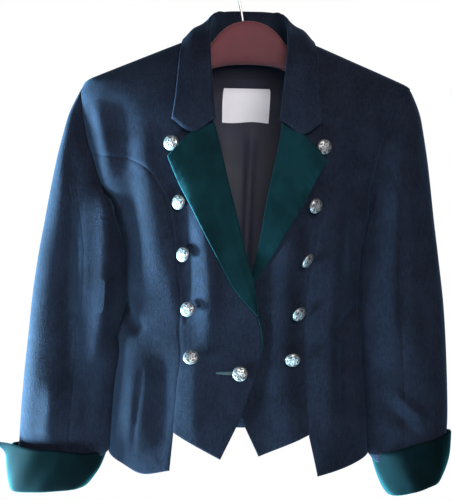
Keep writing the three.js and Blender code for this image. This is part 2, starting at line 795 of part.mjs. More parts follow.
// A sleeve piece: columns of the two faces, drawn in at its long seams.
function sleevePiece(faces, picks, side) {
  const grids = faces.map((grid) =>
    grid.map((row) => picks.map((k) => row[k])).map((row) => {
      const shifted = row.map((p) => p.clone());
      const last = row.length - 1;
      shifted[0].addScaledVector(row[1].clone().sub(row[0]).normalize(), SEAM_GAP);
      shifted[last].addScaledVector(row[last - 1].clone().sub(row[last]).normalize(), SEAM_GAP);
      return shifted;
    }),
  );
  return wallGeometry(...grids.map((grid) => mirrored(grid, side)));
}

const range = (from, to) => Array.from({ length: to - from + 1 }, (_, i) => from + i);

for (const side of ["right", "left"]) {
  const faces = sleeveFaces(side);
  const count = faces[0][0].length - 1;
  const underPicks = range(UNDER_FROM, UNDER_TO);
  const topPicks = [...range(UNDER_TO, count), ...range(1, UNDER_FROM)];
  add("top_sleeve_" + side, sleevePiece(faces, topPicks, side), loden);
  add("under_sleeve_" + side, sleevePiece(faces, underPicks, side), loden);
}

// ---------------------------------------------------------------- cuffs

// Level sections of each turned-back velvet cuff from its free top edge down to the fold and under
// the sleeve's end. rise lifts the outer side, as the cuff slants.
const CUFF = {
  right: [
    { z: -658, inner: 181.5, outer: 311, front: -44, back: 45, rise: 4 },
    { z: -684, inner: 190, outer: 315, front: -42, back: 42, rise: 1 },
    { z: -704, inner: 203, outer: 314, front: -38, back: 37, rise: -1 },
    { z: -714, inner: 212, outer: 311, front: -33, back: 31, rise: -3 },
    { z: -713.5, inner: 217, outer: 305, front: -28, back: 25, rise: -3 },
  ],
  left: [
    { z: -640, inner: 178.5, outer: 285, front: -48, back: 48, rise: 17 },
    { z: -668, inner: 185, outer: 284, front: -46, back: 46, rise: 12 },
    { z: -690, inner: 195, outer: 279, front: -42, back: 41, rise: 11 },
    { z: -702, inner: 204, outer: 272, front: -38, back: 36, rise: 10 },
    { z: -701, inner: 208, outer: 265, front: -32, back: 30, rise: 10 },
  ],
};
const CUFF_WALL = 2;
const CUFF_STEPS = 20;
const CUFF_SLIT = 0.03; // half of the slit at the outer side, in radians
const CUFF_CORNER = { right: 36, left: 0 }; // how far the slit's top corner is pulled out

function cuffGrid(side) {
  return CUFF[side].map((row, j) =>
    Array.from({ length: CUFF_STEPS + 1 }, (_, k) => {
      const angle = CUFF_SLIT + ((2 * Math.PI - 2 * CUFF_SLIT) * k) / CUFF_STEPS;
      const corner = j === 0 && k === 0 ? CUFF_CORNER[side] : 0;
      return new THREE.Vector3(
        (row.inner + row.outer) / 2 + ((row.outer - row.inner) / 2) * Math.cos(angle) + corner,
        (row.front + row.back) / 2 - ((row.back - row.front) / 2) * Math.sin(angle),
        row.z + row.rise * Math.cos(angle),
      );
    }),
  );
}

for (const side of ["right", "left"])
  add("cuff_" + side, wallAbout(mirrored(cuffGrid(side), side), CUFF_WALL), velvet);

// ---------------------------------------------------------------- lining and label

const LINING_MARGIN = 2; // of the back's own columns that the lining leaves free at each side
const LABEL_SIZE = { width: 62, top: -156, foot: -204 };

// The lining follows the back panel point for point, a little inside it.
const liningPlaces = backPlaces()
  .slice(1, -1)
  .map((row) => row.slice(LINING_MARGIN, -LINING_MARGIN));

function labelPlaces(columns, rows) {
  const reach = Math.asin(LABEL_SIZE.width / 2 / column(FORM, "left", LABEL_SIZE.top));
  return Array.from({ length: rows + 1 }, (_, j) =>
    Array.from({ length: columns + 1 }, (_, i) => ({
      turn: Math.PI - reach * (1 - (2 * i) / columns),
      z: LABEL_SIZE.foot + ((LABEL_SIZE.top - LABEL_SIZE.foot) * j) / rows,
      side: "left",
    })),
  );
}

const liningLift = (place) => backLift(place) - LODEN - LYING_GAP;
add(
  "lining",
  formWall(liningPlaces, {
    lift: liningLift,
    thickness: LINING,
    gap: 0,
  }),
  liningCloth,
);
add(
  "label",
  formWall(labelPlaces(4, 3), {
    lift: (place) => liningLift(place) - LINING - 4 * LYING_GAP,
    thickness: LABEL,
    gap: 0,
  }),
  labelCloth,
);

// ---------------------------------------------------------------- buttons

// Places of the buttons on their own side, and the way each head has swung on its shank: turned
// to the wearer's left (+) or right (-), and up (+) or down (-), in degrees.
const BUTTONS = {
  right: [
    { x: 98.4, z: -247, turned: -20, tipped: 4 },
    { x: 88, z: -323.5, turned: -34, tipped: 8 },
    { x: 80.5, z: -392, turned: -38, tipped: 10 },
    { x: 72, z: -463, turned: -24, tipped: 18 },
    { x: 66, z: -526.5, turned: -6, tipped: 30 },
  ],
  left: [
    { x: 99.5, z: -248, turned: 20, tipped: -8 },
    { x: 90.5, z: -325, turned: 36, tipped: -14 },
    { x: 81, z: -396, turned: 62, tipped: -30 },
    { x: 72.3, z: -466.5, turned: 40, tipped: -26 },
    { x: 65, z: -527.5, turned: 6, tipped: -32 },
  ],
};
const CLOSING_BUTTON = { x: 2.5, z: -547.5, turned: 0, tipped: 0 };
const BUTTON_RADIUS = 10.3;
const BUTTON_PROFILE = [
  { r: 0, h: 8.4 },
  { r: 4.5, h: 7.9 },
  { r: 8, h: 6.3 },
  { r: BUTTON_RADIUS, h: 3.9 },
  { r: BUTTON_RADIUS - 0.6, h: 3 },
  { r: 3, h: 2.6 },
  { r: 2.6, h: 0 },
  { r: 0, h: 0 },
];
const BUTTON_SIDES = 12;
const HEAD_HEIGHT = 3.6; // of the rim above the shank's foot, where the head swings

// A button stands on the front's cloth. The head swings about the rim's centre, which stays far
// enough off the cloth for the tilt.
function button(name, place, side) {
  const geometry = new THREE.LatheGeometry(
    BUTTON_PROFILE.map(({ r, h }) => new THREE.Vector2(r, h - HEAD_HEIGHT)).reverse(),
    BUTTON_SIDES,
  );
  const spot = { turn: turnOf(place, side), z: place.z, side };
  const normal = formNormal(spot);
  const tilt = Math.hypot(place.turned, place.tipped);
  const stand = HEAD_HEIGHT + 1.1 + BUTTON_RADIUS * 0.8 * Math.sin(THREE.MathUtils.degToRad(tilt));
  const centre = formPoint(spot).addScaledVector(normal, frontLift(spot) + stand);
  if (side === "right") centre.x *= -1;
  const turned = THREE.MathUtils.degToRad(place.turned);
  const tipped = THREE.MathUtils.degToRad(place.tipped);
  const facing = new THREE.Vector3(
    Math.sin(turned) * Math.cos(tipped),
    -Math.cos(turned) * Math.cos(tipped),
    Math.sin(tipped),
  );
  const mesh = add(name, geometry, silver);
  mesh.position.copy(centre);
  mesh.quaternion.setFromUnitVectors(new THREE.Vector3(0, 1, 0), facing);
}

for (const side of ["right", "left"])
  BUTTONS[side].forEach((place, i) => button("button_" + side + "_" + (i + 1), place, side));
button("button_closing", CLOSING_BUTTON, "right");

// ---------------------------------------------------------------- hanger

// Sections of the hanger's body from its centre to an arm's end: top and foot heights and half of
// its thickness from front to back.
const HANGER = [
  { x: 0, top: -71.5, foot: -131, half: 12 },
  { x: 14, top: -73.4, foot: -131.3, half: 12 },
  { x: 28, top: -79.3, foot: -132.5, half: 12 },
  { x: 40, top: -89.5, foot: -135, half: 12.5 },
  { x: 52, top: -104, foot: -139, half: 13 },
  { x: 66, top: -111, foot: -145, half: 14 },
  { x: 90, top: -116, foot: -153, half: 15 },
  { x: 125, top: -126, foot: -163, half: 16 },
  { x: 160, top: -141.5, foot: -172, half: 16 },
  { x: 186, top: -155, foot: -178, half: 14 },
  { x: 195, top: -162, foot: -175, half: 8 },
];
const HANGER_SIDES = 12;

function hangerBody() {
  const halves = [...HANGER.slice(1).map((row) => ({ ...row, x: -row.x })).reverse(), ...HANGER];
  const positions = [];
  for (const { x, top, foot, half } of halves)
    for (let k = 0; k < HANGER_SIDES; k++) {
      const angle = (2 * Math.PI * k) / HANGER_SIDES;
      const square = (v) => Math.sign(v) * Math.abs(v) ** 0.7;
      positions.push(
        x,
        half * square(Math.cos(angle)),
        (top + foot) / 2 + ((top - foot) / 2) * square(Math.sin(angle)),
      );
    }
  const faces = [];
  const at = (ring, k) => ring * HANGER_SIDES + (k % HANGER_SIDES);
  for (let ring = 0; ring < halves.length - 1; ring++)
    for (let k = 0; k < HANGER_SIDES; k++) {
      faces.push([at(ring, k), at(ring, k + 1), at(ring + 1, k + 1)]);
      faces.push([at(ring, k), at(ring + 1, k + 1), at(ring + 1, k)]);
    }
  for (let k = 1; k < HANGER_SIDES - 1; k++) {
    faces.push([at(0, 0), at(0, k + 1), at(0, k)]);
    const end = halves.length - 1;
    faces.push([at(end, 0), at(end, k), at(end, k + 1)]);
  }
  return facingOut(positions, faces);
}
add("hanger_body", hangerBody(), flock);

// The hook: a stem that leans to the wearer's right and an arc over the rail.
const WIRE_RADIUS = 1.6;
const HOOK_RADIUS = 21; // of the wire's centre line round the rail
const STEM = [
  { x: -8.5, z: -71.4 },
  { x: -10.4, z: -60 },
  { x: -13.2, z: -47 },
];
const HOOK_CENTRE_Z = -WIRE_RADIUS - (HOOK_RADIUS - 2 * WIRE_RADIUS);
const WIRE_SIDES = 8;

function hookPath() {
  const arc = Array.from({ length: 10 }, (_, i) => {
    const angle = THREE.MathUtils.degToRad(215 - 24.5 * i);
    return new THREE.Vector3(
      HOOK_RADIUS * Math.cos(angle),
      0,
      HOOK_CENTRE_Z + HOOK_RADIUS * Math.sin(angle),
    );
  });
  return new THREE.CatmullRomCurve3([
    ...STEM.map(({ x, z }) => new THREE.Vector3(x, 0, z)),
    ...arc,
  ]);
}

const wireSection = new THREE.Shape(
  Array.from({ length: WIRE_SIDES }, (_, k) => {
    const angle = (2 * Math.PI * k) / WIRE_SIDES;
    return new THREE.Vector2(WIRE_RADIUS * Math.cos(angle), WIRE_RADIUS * Math.sin(angle));
  }),
);
add(
  "hanger_hook",
  new THREE.ExtrudeGeometry(wireSection, { steps: 30, extrudePath: hookPath() }),
  wire,
);

export default jacket;
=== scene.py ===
"""A short Tyrolean loden jacket on a hanger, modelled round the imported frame."""
import math

import bmesh
import bpy
import numpy as np
from mathutils import Matrix, Vector


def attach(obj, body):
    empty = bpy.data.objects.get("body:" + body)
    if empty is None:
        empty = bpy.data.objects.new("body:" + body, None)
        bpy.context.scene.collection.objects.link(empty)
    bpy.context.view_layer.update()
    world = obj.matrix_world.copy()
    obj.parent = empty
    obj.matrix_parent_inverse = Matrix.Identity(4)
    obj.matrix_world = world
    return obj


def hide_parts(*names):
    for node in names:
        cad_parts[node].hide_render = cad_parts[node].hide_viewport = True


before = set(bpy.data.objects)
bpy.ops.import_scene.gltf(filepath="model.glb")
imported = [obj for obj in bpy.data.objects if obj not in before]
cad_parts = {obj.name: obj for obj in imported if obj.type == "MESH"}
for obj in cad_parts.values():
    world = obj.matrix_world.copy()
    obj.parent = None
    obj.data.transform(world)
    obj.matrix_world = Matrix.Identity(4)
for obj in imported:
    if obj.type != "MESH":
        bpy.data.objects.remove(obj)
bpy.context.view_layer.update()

bl_info = {
    "name": "Tyrolean loden jacket",
    "version": (1, 0, 0),
    "blender": (4, 5, 0),
    "location": "View3D > Sidebar > Jacket",
    "description": "Makes a velvet-trimmed loden jacket on its hanger",
    "category": "Object",
}

MM = 0.001
QUARTER = math.pi / 2

# ------------------------------------------------------------------ the form of the body
# Millimetres. Level rings: half widths on the wearer's right and left, front and back depth.
FORM = [
    dict(z=-93, right=66, left=66, front=14, back=44),
    dict(z=-99.5, right=81.8, left=81.8, front=27, back=50),
    dict(z=-128, right=149.5, left=149.5, front=47, back=56),
    dict(z=-150, right=201.5, left=201.5, front=56, back=60),
    dict(z=-156.5, right=216, left=216, front=58, back=61),
    dict(z=-161, right=222, left=222, front=60, back=62),
    dict(z=-180, right=228.5, left=218, front=65, back=64),
    dict(z=-200, right=227.5, left=212.5, front=69, back=66),
    dict(z=-230, right=222.5, left=202, front=73, back=67.5),
    dict(z=-260, right=215.5, left=191, front=77, back=68),
    dict(z=-300, right=201, left=179, front=81, back=66),
    dict(z=-342, right=181, left=172, front=83, back=63),
    dict(z=-392, right=169, left=166, front=81, back=58),
    dict(z=-455, right=165, left=164, front=74, back=52),
    dict(z=-500, right=175, left=169, front=68, back=50),
    dict(z=-526, right=171, left=169, front=67, back=50),
    dict(z=-560, right=176, left=173, front=69, back=52),
    dict(z=-610, right=178.5, left=175.5, front=73, back=56),
    dict(z=-690, right=180, left=177, front=77, back=58),
]
ROUNDNESS = 0.8
TIP = (222, -161)
NECK = (66, -93)
ARMPIT = {"right": (181, -342), "left": (172, -342)}
MIRROR = {"right": -1, "left": 1}

# Folds that the cloth hangs in: a line of x, z points seen from the front, its half width and
# height, towards the viewer if positive.
FRONT_FOLDS = {
    "right": [
        dict(line=[(136, -198), (129, -300), (118, -390), (106, -450)], width=16, height=4),
        dict(line=[(120, -205), (110, -270), (98, -330), (90, -430)], width=12, height=-3),
        dict(line=[(104, -262), (86, -330), (78, -420), (76, -490)], width=12, height=-9),
        dict(line=[(62, -310), (50, -380), (44, -450), (50, -540)], width=15, height=9),
        dict(line=[(60, -500), (62, -580), (60, -660)], width=16, height=4),
        dict(line=[(160, -260), (152, -350), (148, -430)], width=12, height=-5),
        dict(line=[(172, -440), (150, -484), (128, -498)], width=9, height=-7),
        dict(line=[(148, -480), (146, -560), (142, -690)], width=17, height=5),
        dict(line=[(108, -500), (106, -580), (108, -680)], width=16, height=-6),
        dict(line=[(133, -535), (138, -600), (144, -672)], width=4, height=-3),
        dict(line=[(204, -172), (193, -225), (184, -270), (182, -320)], width=10, height=6),
        dict(line=[(176, -180), (166, -235), (160, -310)], width=14, height=-5),
    ],
    "left": [
        dict(line=[(60, -340), (50, -420), (48, -540), (56, -650)], width=16, height=6),
        dict(line=[(112, -262), (86, -340), (78, -440), (82, -560), (88, -650)], width=14, height=-8),
        dict(line=[(128, -300), (118, -420), (116, -540), (120, -650)], width=14, height=6),
        dict(line=[(150, -230), (146, -350), (150, -470)], width=12, height=-6),
        dict(line=[(160, -445), (136, -480), (112, -494)], width=9, height=-5),
        dict(line=[(134, -492), (136, -535), (140, -620)], width=8, height=-4),
        dict(line=[(112, -150), (120, -210), (112, -290)], width=14, height=4),
        dict(line=[(166, -200), (166, -250), (156, -310)], width=10, height=4),
    ],
}
BACK_FOLDS = [
    dict(line=[(120, -190), (96, -380), (84, -560)], width=24, height=6),
    dict(line=[(58, -230), (62, -380), (52, -520)], width=18, height=-5),
    dict(line=[(-112, -180), (-88, -400), (-92, -600)], width=26, height=6),
    dict(line=[(-50, -240), (-58, -380), (-46, -500)], width=16, height=-5),
    dict(line=[(8, -420), (4, -560), (-6, -700)], width=30, height=-5),
]
SLEEVE_FOLDS = {
    "right": [
        dict(line=[(268, -300), (276, -420), (280, -520), (284, -640)], width=14, height=4),
        dict(line=[(230, -225), (232, -330), (234, -430), (230, -540), (222, -640)],
             width=20, height=-15),
        dict(line=[(204, -205), (193, -270), (187, -340), (186, -420), (192, -500), (206, -590)],
             width=10, height=11),
        dict(line=[(190, -500), (199, -560), (207, -600), (212, -650)], width=6, height=-4),
        dict(line=[(252, -560), (256, -610), (262, -655)], width=12, height=4),
    ],
    "left": [
        dict(line=[(204, -200), (200, -320), (198, -440), (204, -560)], width=11, height=8),
        dict(line=[(236, -225), (242, -340), (246, -460), (250, -560)], width=18, height=-6),
        dict(line=[(196, -560), (222, -588), (250, -608)], width=7, height=5),
        dict(line=[(188, -578), (214, -606), (244, -628)], width=7, height=-5),
        dict(line=[(190, -618), (193, -655)], width=5, height=-4),
    ],
}

FRONT_EDGE = {
    "right": [(26.5, -660), (-1.2, -600), (-21, -540), (-25.8, -505), (-19.7, -477)],
    "left": [(24.6, -656), (-2, -600), (-20, -540), (-25, -505), (-19, -477)],
}
ROLL_LINE = {
    "right": [(-19.7, -477), (-13, -428), (0, -382), (16.8, -319), (31.2, -263), (43, -218)],
    "left": [(-19, -477), (5, -432), (17, -382), (27.3, -319), (37.6, -265), (46, -218)],
}
FRONT_NECK = [(44.5, -218), (51, -176), (56.5, -140), (61.5, -112), NECK]
BACK_NECK = [NECK, (52, -95), (30, -97.5), (0, -99)]
ARMHOLE_UPPER = {
    "right": [TIP, (226, -181), (221.5, -212), (216, -238), (209, -259)],
    "left": [TIP, (209, -173), (195, -201), (181, -240), (176, -259)],
}
ARMHOLE_LOWER = {
    "right": [(209, -259), (197, -294), (187, -318), (181, -334), ARMPIT["right"]],
    "left": [(176, -259), (169.5, -287), (166.5, -314), (168, -332), ARMPIT["left"]],
}
ARMHOLE_BACK = {
    "right": [ARMPIT["right"], (181, -328), (185, -306), (192, -276), (201, -242), (209, -208),
              (217, -180), TIP],
    "left": [ARMPIT["left"], (172, -327), (172, -305), (175.5, -275), (183, -240), (193, -206),
             (207, -179), TIP],
}
PRINCESS_LOWER = [(90, -627), (86, -565), (83, -510), (83.5, -460), (92, -391), (111, -308)]
PRINCESS = {
    "right": [*PRINCESS_LOWER, (148, -270), (209, -259)],
    "left": [*PRINCESS_LOWER, (138, -273), (176, -259)],
}
STEP_FOOT = {"right": (93, -677), "left": (103, -681)}
SIDE_HEM = {
    "right": [STEP_FOOT["right"], (130, -683.5), (159, -672), (179.5, -658)],
    "left": [STEP_FOOT["left"], (139, -671), (160, -663), (176.5, -650)],
}
BACK_HEM_Z = -634
# How many steps a seam counts for in its panel's rim, the same on both sides of the seam.
STEPS = dict(front_edge=4, roll=5, neck=3, shoulder=4, upper=5, lower=7, armhole_back=6,
             princess=12, step_edge=2, side=14, front_hem=9, side_hem=7, back_hem=14)
UNDERLAP = 11
# Wall thicknesses in mm, besides the two that the panel's settings hold.
THICK = dict(lining=0.6, label=0.6, collar=2.4, cuff=2.0)


def column(table, name, z):
    """A table's column at heights z: a smooth curve through its rows that never overshoots."""
    zs = np.array([row["z"] for row in table], float)[::-1]
    values = np.array([row[name] for row in table], float)[::-1]
    z = np.clip(z, zs[0], zs[-1])
    i = np.clip(np.searchsorted(zs, z, side="right") - 1, 0, len(zs) - 2)
    slopes = np.diff(values) / np.diff(zs)
    before, after = slopes[:-1], slopes[1:]
    product = before * after
    inner = np.where(product > 0, 2 * product / np.where(before + after == 0, 1, before + after), 0)
    tangents = np.concatenate([slopes[:1], inner, slopes[-1:]])
    step = zs[i + 1] - zs[i]
    t = (z - zs[i]) / step
    return ((2 * t**3 - 3 * t**2 + 1) * values[i] + (t**3 - 2 * t**2 + t) * step * tangents[i]
            + (3 * t**2 - 2 * t**3) * values[i + 1] + (t**3 - t**2) * step * tangents[i + 1])


def half_width(turn, z, side):
    """Half width of the form at a turn from straight ahead, on one side or on both."""
    if side == "both":
        return np.where(turn > math.pi, column(FORM, "right", z), column(FORM, "left", z))
    return column(FORM, side, z)


def form_point(turn, z, side):
    """Points of the form in mm, at turns from straight ahead and heights."""
    depth = np.where(np.abs(turn) <= QUARTER, column(FORM, "front", z), column(FORM, "back", z))
    forwards = np.cos(turn)
    return np.stack([half_width(turn, z, side) * np.sin(turn),
                     -np.sign(forwards) * depth * np.abs(forwards)**ROUNDNESS, z + 0 * turn], -1)


def unit(v):
    """Vectors at length 1."""
    return v / np.maximum(np.linalg.norm(v, axis=-1, keepdims=True), 1e-9)


def form_normal(turn, z, side):
    """Directions straight out of the form."""
    around = form_point(turn + 0.02, z, side) - form_point(turn - 0.02, z, side)
    down = form_point(turn, z - 2, side) - form_point(turn, z + 2, side)
    return unit(np.cross(down, around))


def smooth(t):
    """Eases from 0 to 1 as t does, and stays there."""
    s = np.clip(t, 0, 1)
    return s * s * (3 - 2 * s)


def spline(points, samples=240):
    """A smooth line through points, as many samples of it."""
    p = np.array(points, float)
    if len(p) == 2:
        t = np.linspace(0, 1, samples)[:, None]
        return p[0] * (1 - t) + p[1] * t
    p = np.concatenate([2 * p[:1] - p[1:2], p, 2 * p[-1:] - p[-2:-1]])
    t = np.linspace(0, len(p) - 3 - 1e-9, samples)
    i = t.astype(int)
    f = (t - i)[:, None]
    a, b, c, d = p[i], p[i + 1], p[i + 2], p[i + 3]
    return 0.5 * (2 * b + (c - a) * f + (2 * a - 5 * b + 4 * c - d) * f**2
                  + (3 * b - a - 3 * c + d) * f**3)


def along(line, fractions):
    """Points at fractions of a line's length."""
    lengths = np.concatenate([[0], np.cumsum(np.linalg.norm(np.diff(line, axis=0), axis=1))])
    at = np.clip(fractions, 0, 1) * lengths[-1]
    return np.stack([np.interp(at, lengths, line[:, k]) for k in range(line.shape[1])], -1)


def fold_height(folds, x, z):
    """Height in mm that a table of folds adds at x, z."""
    height = np.zeros(np.shape(x))
    for fold in folds:
        line = spline(fold["line"], 48)
        gap = np.hypot(x[..., None] - line[:, 0], z[..., None] - line[:, 1])
        nearest = gap.argmin(-1)
        share = nearest / (len(line) - 1)
        ends = smooth(share / 0.3) * smooth((1 - share) / 0.3)
        height += fold["height"] * ends * np.exp(-(gap.min(-1) / fold["width"])**2)
    return height


def turn_of(points, side, at_back=False):
    """Turn in hundredths and height of x, z points on the form."""
    p = np.array(points, float)
    turn = np.arcsin(np.clip(p[:, 0] / column(FORM, side, p[:, 1]), -1, 1))
    return np.stack([100 * (math.pi - turn if at_back else turn), p[:, 1]], -1)


def seam(points, side, at_back=False):
    """A seam line of the form, as turn (in hundredths) and height."""
    return spline(turn_of(points, side, at_back))


def shoulder():
    """The shoulder seam, from the neck to the tip."""
    t = np.linspace(0, 1, 60)
    return np.stack([100 * QUARTER + 0 * t, NECK[1] + (TIP[1] - NECK[1]) * t], -1)


def side_seam(side):
    """The side seam, from the hem to the armpit."""
    foot = SIDE_HEM[side][-1][1]
    t = np.linspace(0, 1, 60)
    return np.stack([100 * QUARTER + 0 * t, foot + (ARMPIT[side][1] - foot) * t], -1)


def far_side(line):
    """A seam line of the left, carried over to the right of the back."""
    return np.stack([200 * math.pi - line[:, 0], line[:, 1]], -1)


def boundary(parts, shares):
    """Points at shares of a boundary made of (line, steps) parts, as turn and height."""
    total = sum(steps for _, steps in parts)
    out, done = np.zeros((len(shares), 2)), 0
    for line, steps in parts:
        local = (np.asarray(shares) * total - done) / steps
        inside = (local >= -1e-9) & (local <= 1 + 1e-9)
        out[inside] = along(line, local[inside])
        done += steps
    return out / [100, 1]


def relax(x, y, rounds=500):
    """Spreads a grid's inner points smoothly, so that none of its cells folds over."""
    inner, ahead, behind = slice(1, -1), slice(2, None), slice(None, -2)
    for _ in range(rounds):
        xu, yu = (g[inner, ahead] - g[inner, behind] for g in (x, y))
        xv, yv = (g[ahead, inner] - g[behind, inner] for g in (x, y))
        a, b, c = xv**2 + yv**2, xu * xv + yu * yv, xu**2 + yu**2
        for g in (x, y):
            twist = g[ahead, ahead] - g[ahead, behind] - g[behind, ahead] + g[behind, behind]
            g[inner, inner] = (a * (g[inner, ahead] + g[inner, behind])
                               + c * (g[ahead, inner] + g[behind, inner])
                               - b * twist / 2) / (2 * (a + c))
    return x, y


def resample(grid, us, vs):
    """A grid of evenly spread shares, read at other shares."""
    rows, columns = grid.shape
    wide = np.stack([np.interp(us * (columns - 1), np.arange(columns), row) for row in grid])
    return np.stack([np.interp(vs * (rows - 1), np.arange(rows), wide[:, k])
                     for k in range(len(us))], 1)


def patch(bottom, top, start, end, us, vs, lean=1):
    """Turn and height over a panel, blended from its four boundary lines and relaxed.

    A lean above 1 makes the first guess follow the bottom line for longer.
    """
    even_u, even_v = np.linspace(0, 1, 43), np.linspace(0, 1, 61)
    low, high = boundary(bottom, even_u), boundary(top, even_u)
    first, last = boundary(start, even_v), boundary(end, even_v)
    u, v = even_u[None, :, None], even_v[:, None, None]
    w = v**lean
    corners = ((1 - u) * (1 - w) * low[0] + u * (1 - w) * low[-1]
               + (1 - u) * w * high[0] + u * w * high[-1])
    grid = ((1 - w) * low[None] + w * high[None] + (1 - u) * first[:, None] + u * last[:, None]
            - corners)
    turn, z = relax(100 * grid[..., 0], grid[..., 1].copy())
    return resample(turn / 100, us, vs), resample(z, us, vs)


def dense(count, reach, near=(0.35, 1.0, 2.0, 3.6, 6.0)):
    """Shares of a length of reach mm, closer together at both ends."""
    ends = np.array([n / reach for n in near])
    middle = np.linspace(ends[-1], 1 - ends[-1], count)[1:-1]
    return np.concatenate([[0], ends, middle, 1 - ends[::-1], [1]])


# ------------------------------------------------------------------ shaping cloth
SEAM_DIP = 0.8
SEAM_OVERLAP = 0.08
EDGE_ROUND = 1.8


def edge_gaps(points):
    """Distances of each point of a grid from its start, end, bottom and top lines."""
    across = np.linalg.norm(np.diff(points, axis=1), axis=-1)
    up = np.linalg.norm(np.diff(points, axis=0), axis=-1)
    start = np.concatenate([np.zeros((len(points), 1)), np.cumsum(across, 1)], 1)
    bottom = np.concatenate([np.zeros((1, points.shape[1])), np.cumsum(up, 0)], 0)
    return dict(start=start, end=start[:, -1:] - start, bottom=bottom, top=bottom[-1:] - bottom)


def edge_lift(points, finish):
    """How far the cloth turns in at a seam, or rounds over at a free edge."""
    lift = np.zeros(points.shape[:2])
    for name, gap in edge_gaps(points).items():
        if finish.get(name) == "seam":
            lift -= SEAM_DIP * np.exp(-(gap / 2.4)**1.3)
        elif finish.get(name) == "edge":
            t = np.clip(1 - gap / EDGE_ROUND, 0, 1)
            lift -= EDGE_ROUND * (1 - np.sqrt(1 - t * t))
    return lift


def grid_normals(points):
    """Unit normals of a grid of points."""
    across = np.gradient(points, axis=1)
    up = np.gradient(points, axis=0)
    return unit(np.cross(across, up))


def away_from_rim(points, gap):
    """Draws a grid's rim in by a gap, or out if it is negative."""
    moved = points.copy()
    moved[:, 0] += gap * unit(points[:, 1] - points[:, 0])
    moved[:, -1] += gap * unit(points[:, -2] - points[:, -1])
    moved[0] += gap * unit(points[1] - points[0])
    moved[-1] += gap * unit(points[-2] - points[-1])
    return moved


def deselect():
    if bpy.context.object and bpy.context.object.mode != "OBJECT":
        bpy.ops.object.mode_set(mode="OBJECT")
    bpy.ops.object.select_all(action="DESELECT")


def apply_modifier(piece, name, kind, **settings):
    modifier = piece.modifiers.new(name, kind)
    for key, value in settings.items():
        setattr(modifier, key, value)
    with bpy.context.temp_override(object=piece, active_object=piece, selected_objects=[piece]):
        bpy.ops.object.modifier_apply(modifier=modifier.name)


def grid_piece(name, points, outwards=None):
    """A mesh grid through rows and columns of points in mm, facing along outwards."""
    rows, columns = points.shape[:2]
    deselect()
    bpy.ops.mesh.primitive_grid_add(x_subdivisions=columns - 1, y_subdivisions=rows - 1,
                                    size=1, calc_uvs=True)
    piece = bpy.context.object
    piece.name = piece.data.name = name
    piece.data.vertices.foreach_set("co", (points * MM).astype(np.float32).ravel())
    piece.data.update()
    if outwards is not None:
        middle = len(piece.data.polygons) // 2 + columns // 2
        face = piece.data.polygons[min(middle, len(piece.data.polygons) - 1)]
        row, col = divmod(face.index, columns - 1)
        if face.normal.dot(Vector(outwards[row, col])) < 0:
            piece.data.flip_normals()
    return piece


def finish_cloth(piece, thickness, materials):
    """Gives a sheet its thickness inwards, and its materials: outer, then inner."""
    for material in materials:
        piece.data.materials.append(material)
    apply_modifier(piece, "Wall", "SOLIDIFY", thickness=thickness * MM, offset=-1,
                   use_even_offset=False, use_quality_normals=True,
                   material_offset=len(materials) - 1, material_offset_rim=0)
    smooth_shade(piece, 55)


def smooth_shade(piece, degrees):
    deselect()
    piece.select_set(True)
    bpy.context.view_layer.objects.active = piece
    bpy.ops.object.shade_smooth_by_angle(angle=math.radians(degrees))


def declare(piece, node):
    """Hangs a piece on the root body and hides the imported part that it stands for."""
    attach(piece, "root")
    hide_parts(node)


def surface_size(points):
    """Width, length and area in metres of a grid of points in mm."""
    quads = np.cross(points[1:, 1:] - points[:-1, :-1], points[1:, :-1] - points[:-1, 1:])
    area = np.linalg.norm(quads, axis=-1).sum() / 2
    width = np.linalg.norm(np.diff(points, axis=1), axis=-1).sum(1).max()
    length = np.linalg.norm(np.diff(points, axis=0), axis=-1).sum(0).max()
    if area < 0.32 * width * length:
        width = area / 0.6 / length
    return (float(width * MM), float(length * MM)), float(min(area, width * length) * MM * MM)


def cloth_piece(node, points, outwards, side, thickness, materials):
    """A wall of cloth through a grid of points in mm, mirrored for the right side."""
    flip = np.array([MIRROR.get(side, 1), 1, 1])
    piece = grid_piece(f"{node}_cloth", points * flip, outwards * flip)
    finish_cloth(piece, thickness, materials)
    flat, area = surface_size(points)
    declare(piece, node)


# ------------------------------------------------------------------ materials
class Value:
    """A socket that can be added and multiplied in a Python expression."""

    def __init__(self, shader, socket):
        self.shader, self.socket = shader, socket

    def _math(self, operation, a, b):
        return self.shader.node("ShaderNodeMath", dict(operation=operation), {0: a, 1: b})

    def __add__(self, other):
        return self._math("ADD", self, other)

    def __radd__(self, other):
        return self._math("ADD", other, self)

    def __mul__(self, other):
        return self._math("MULTIPLY", self, other)

    def __rmul__(self, other):
        return self._math("MULTIPLY", other, self)


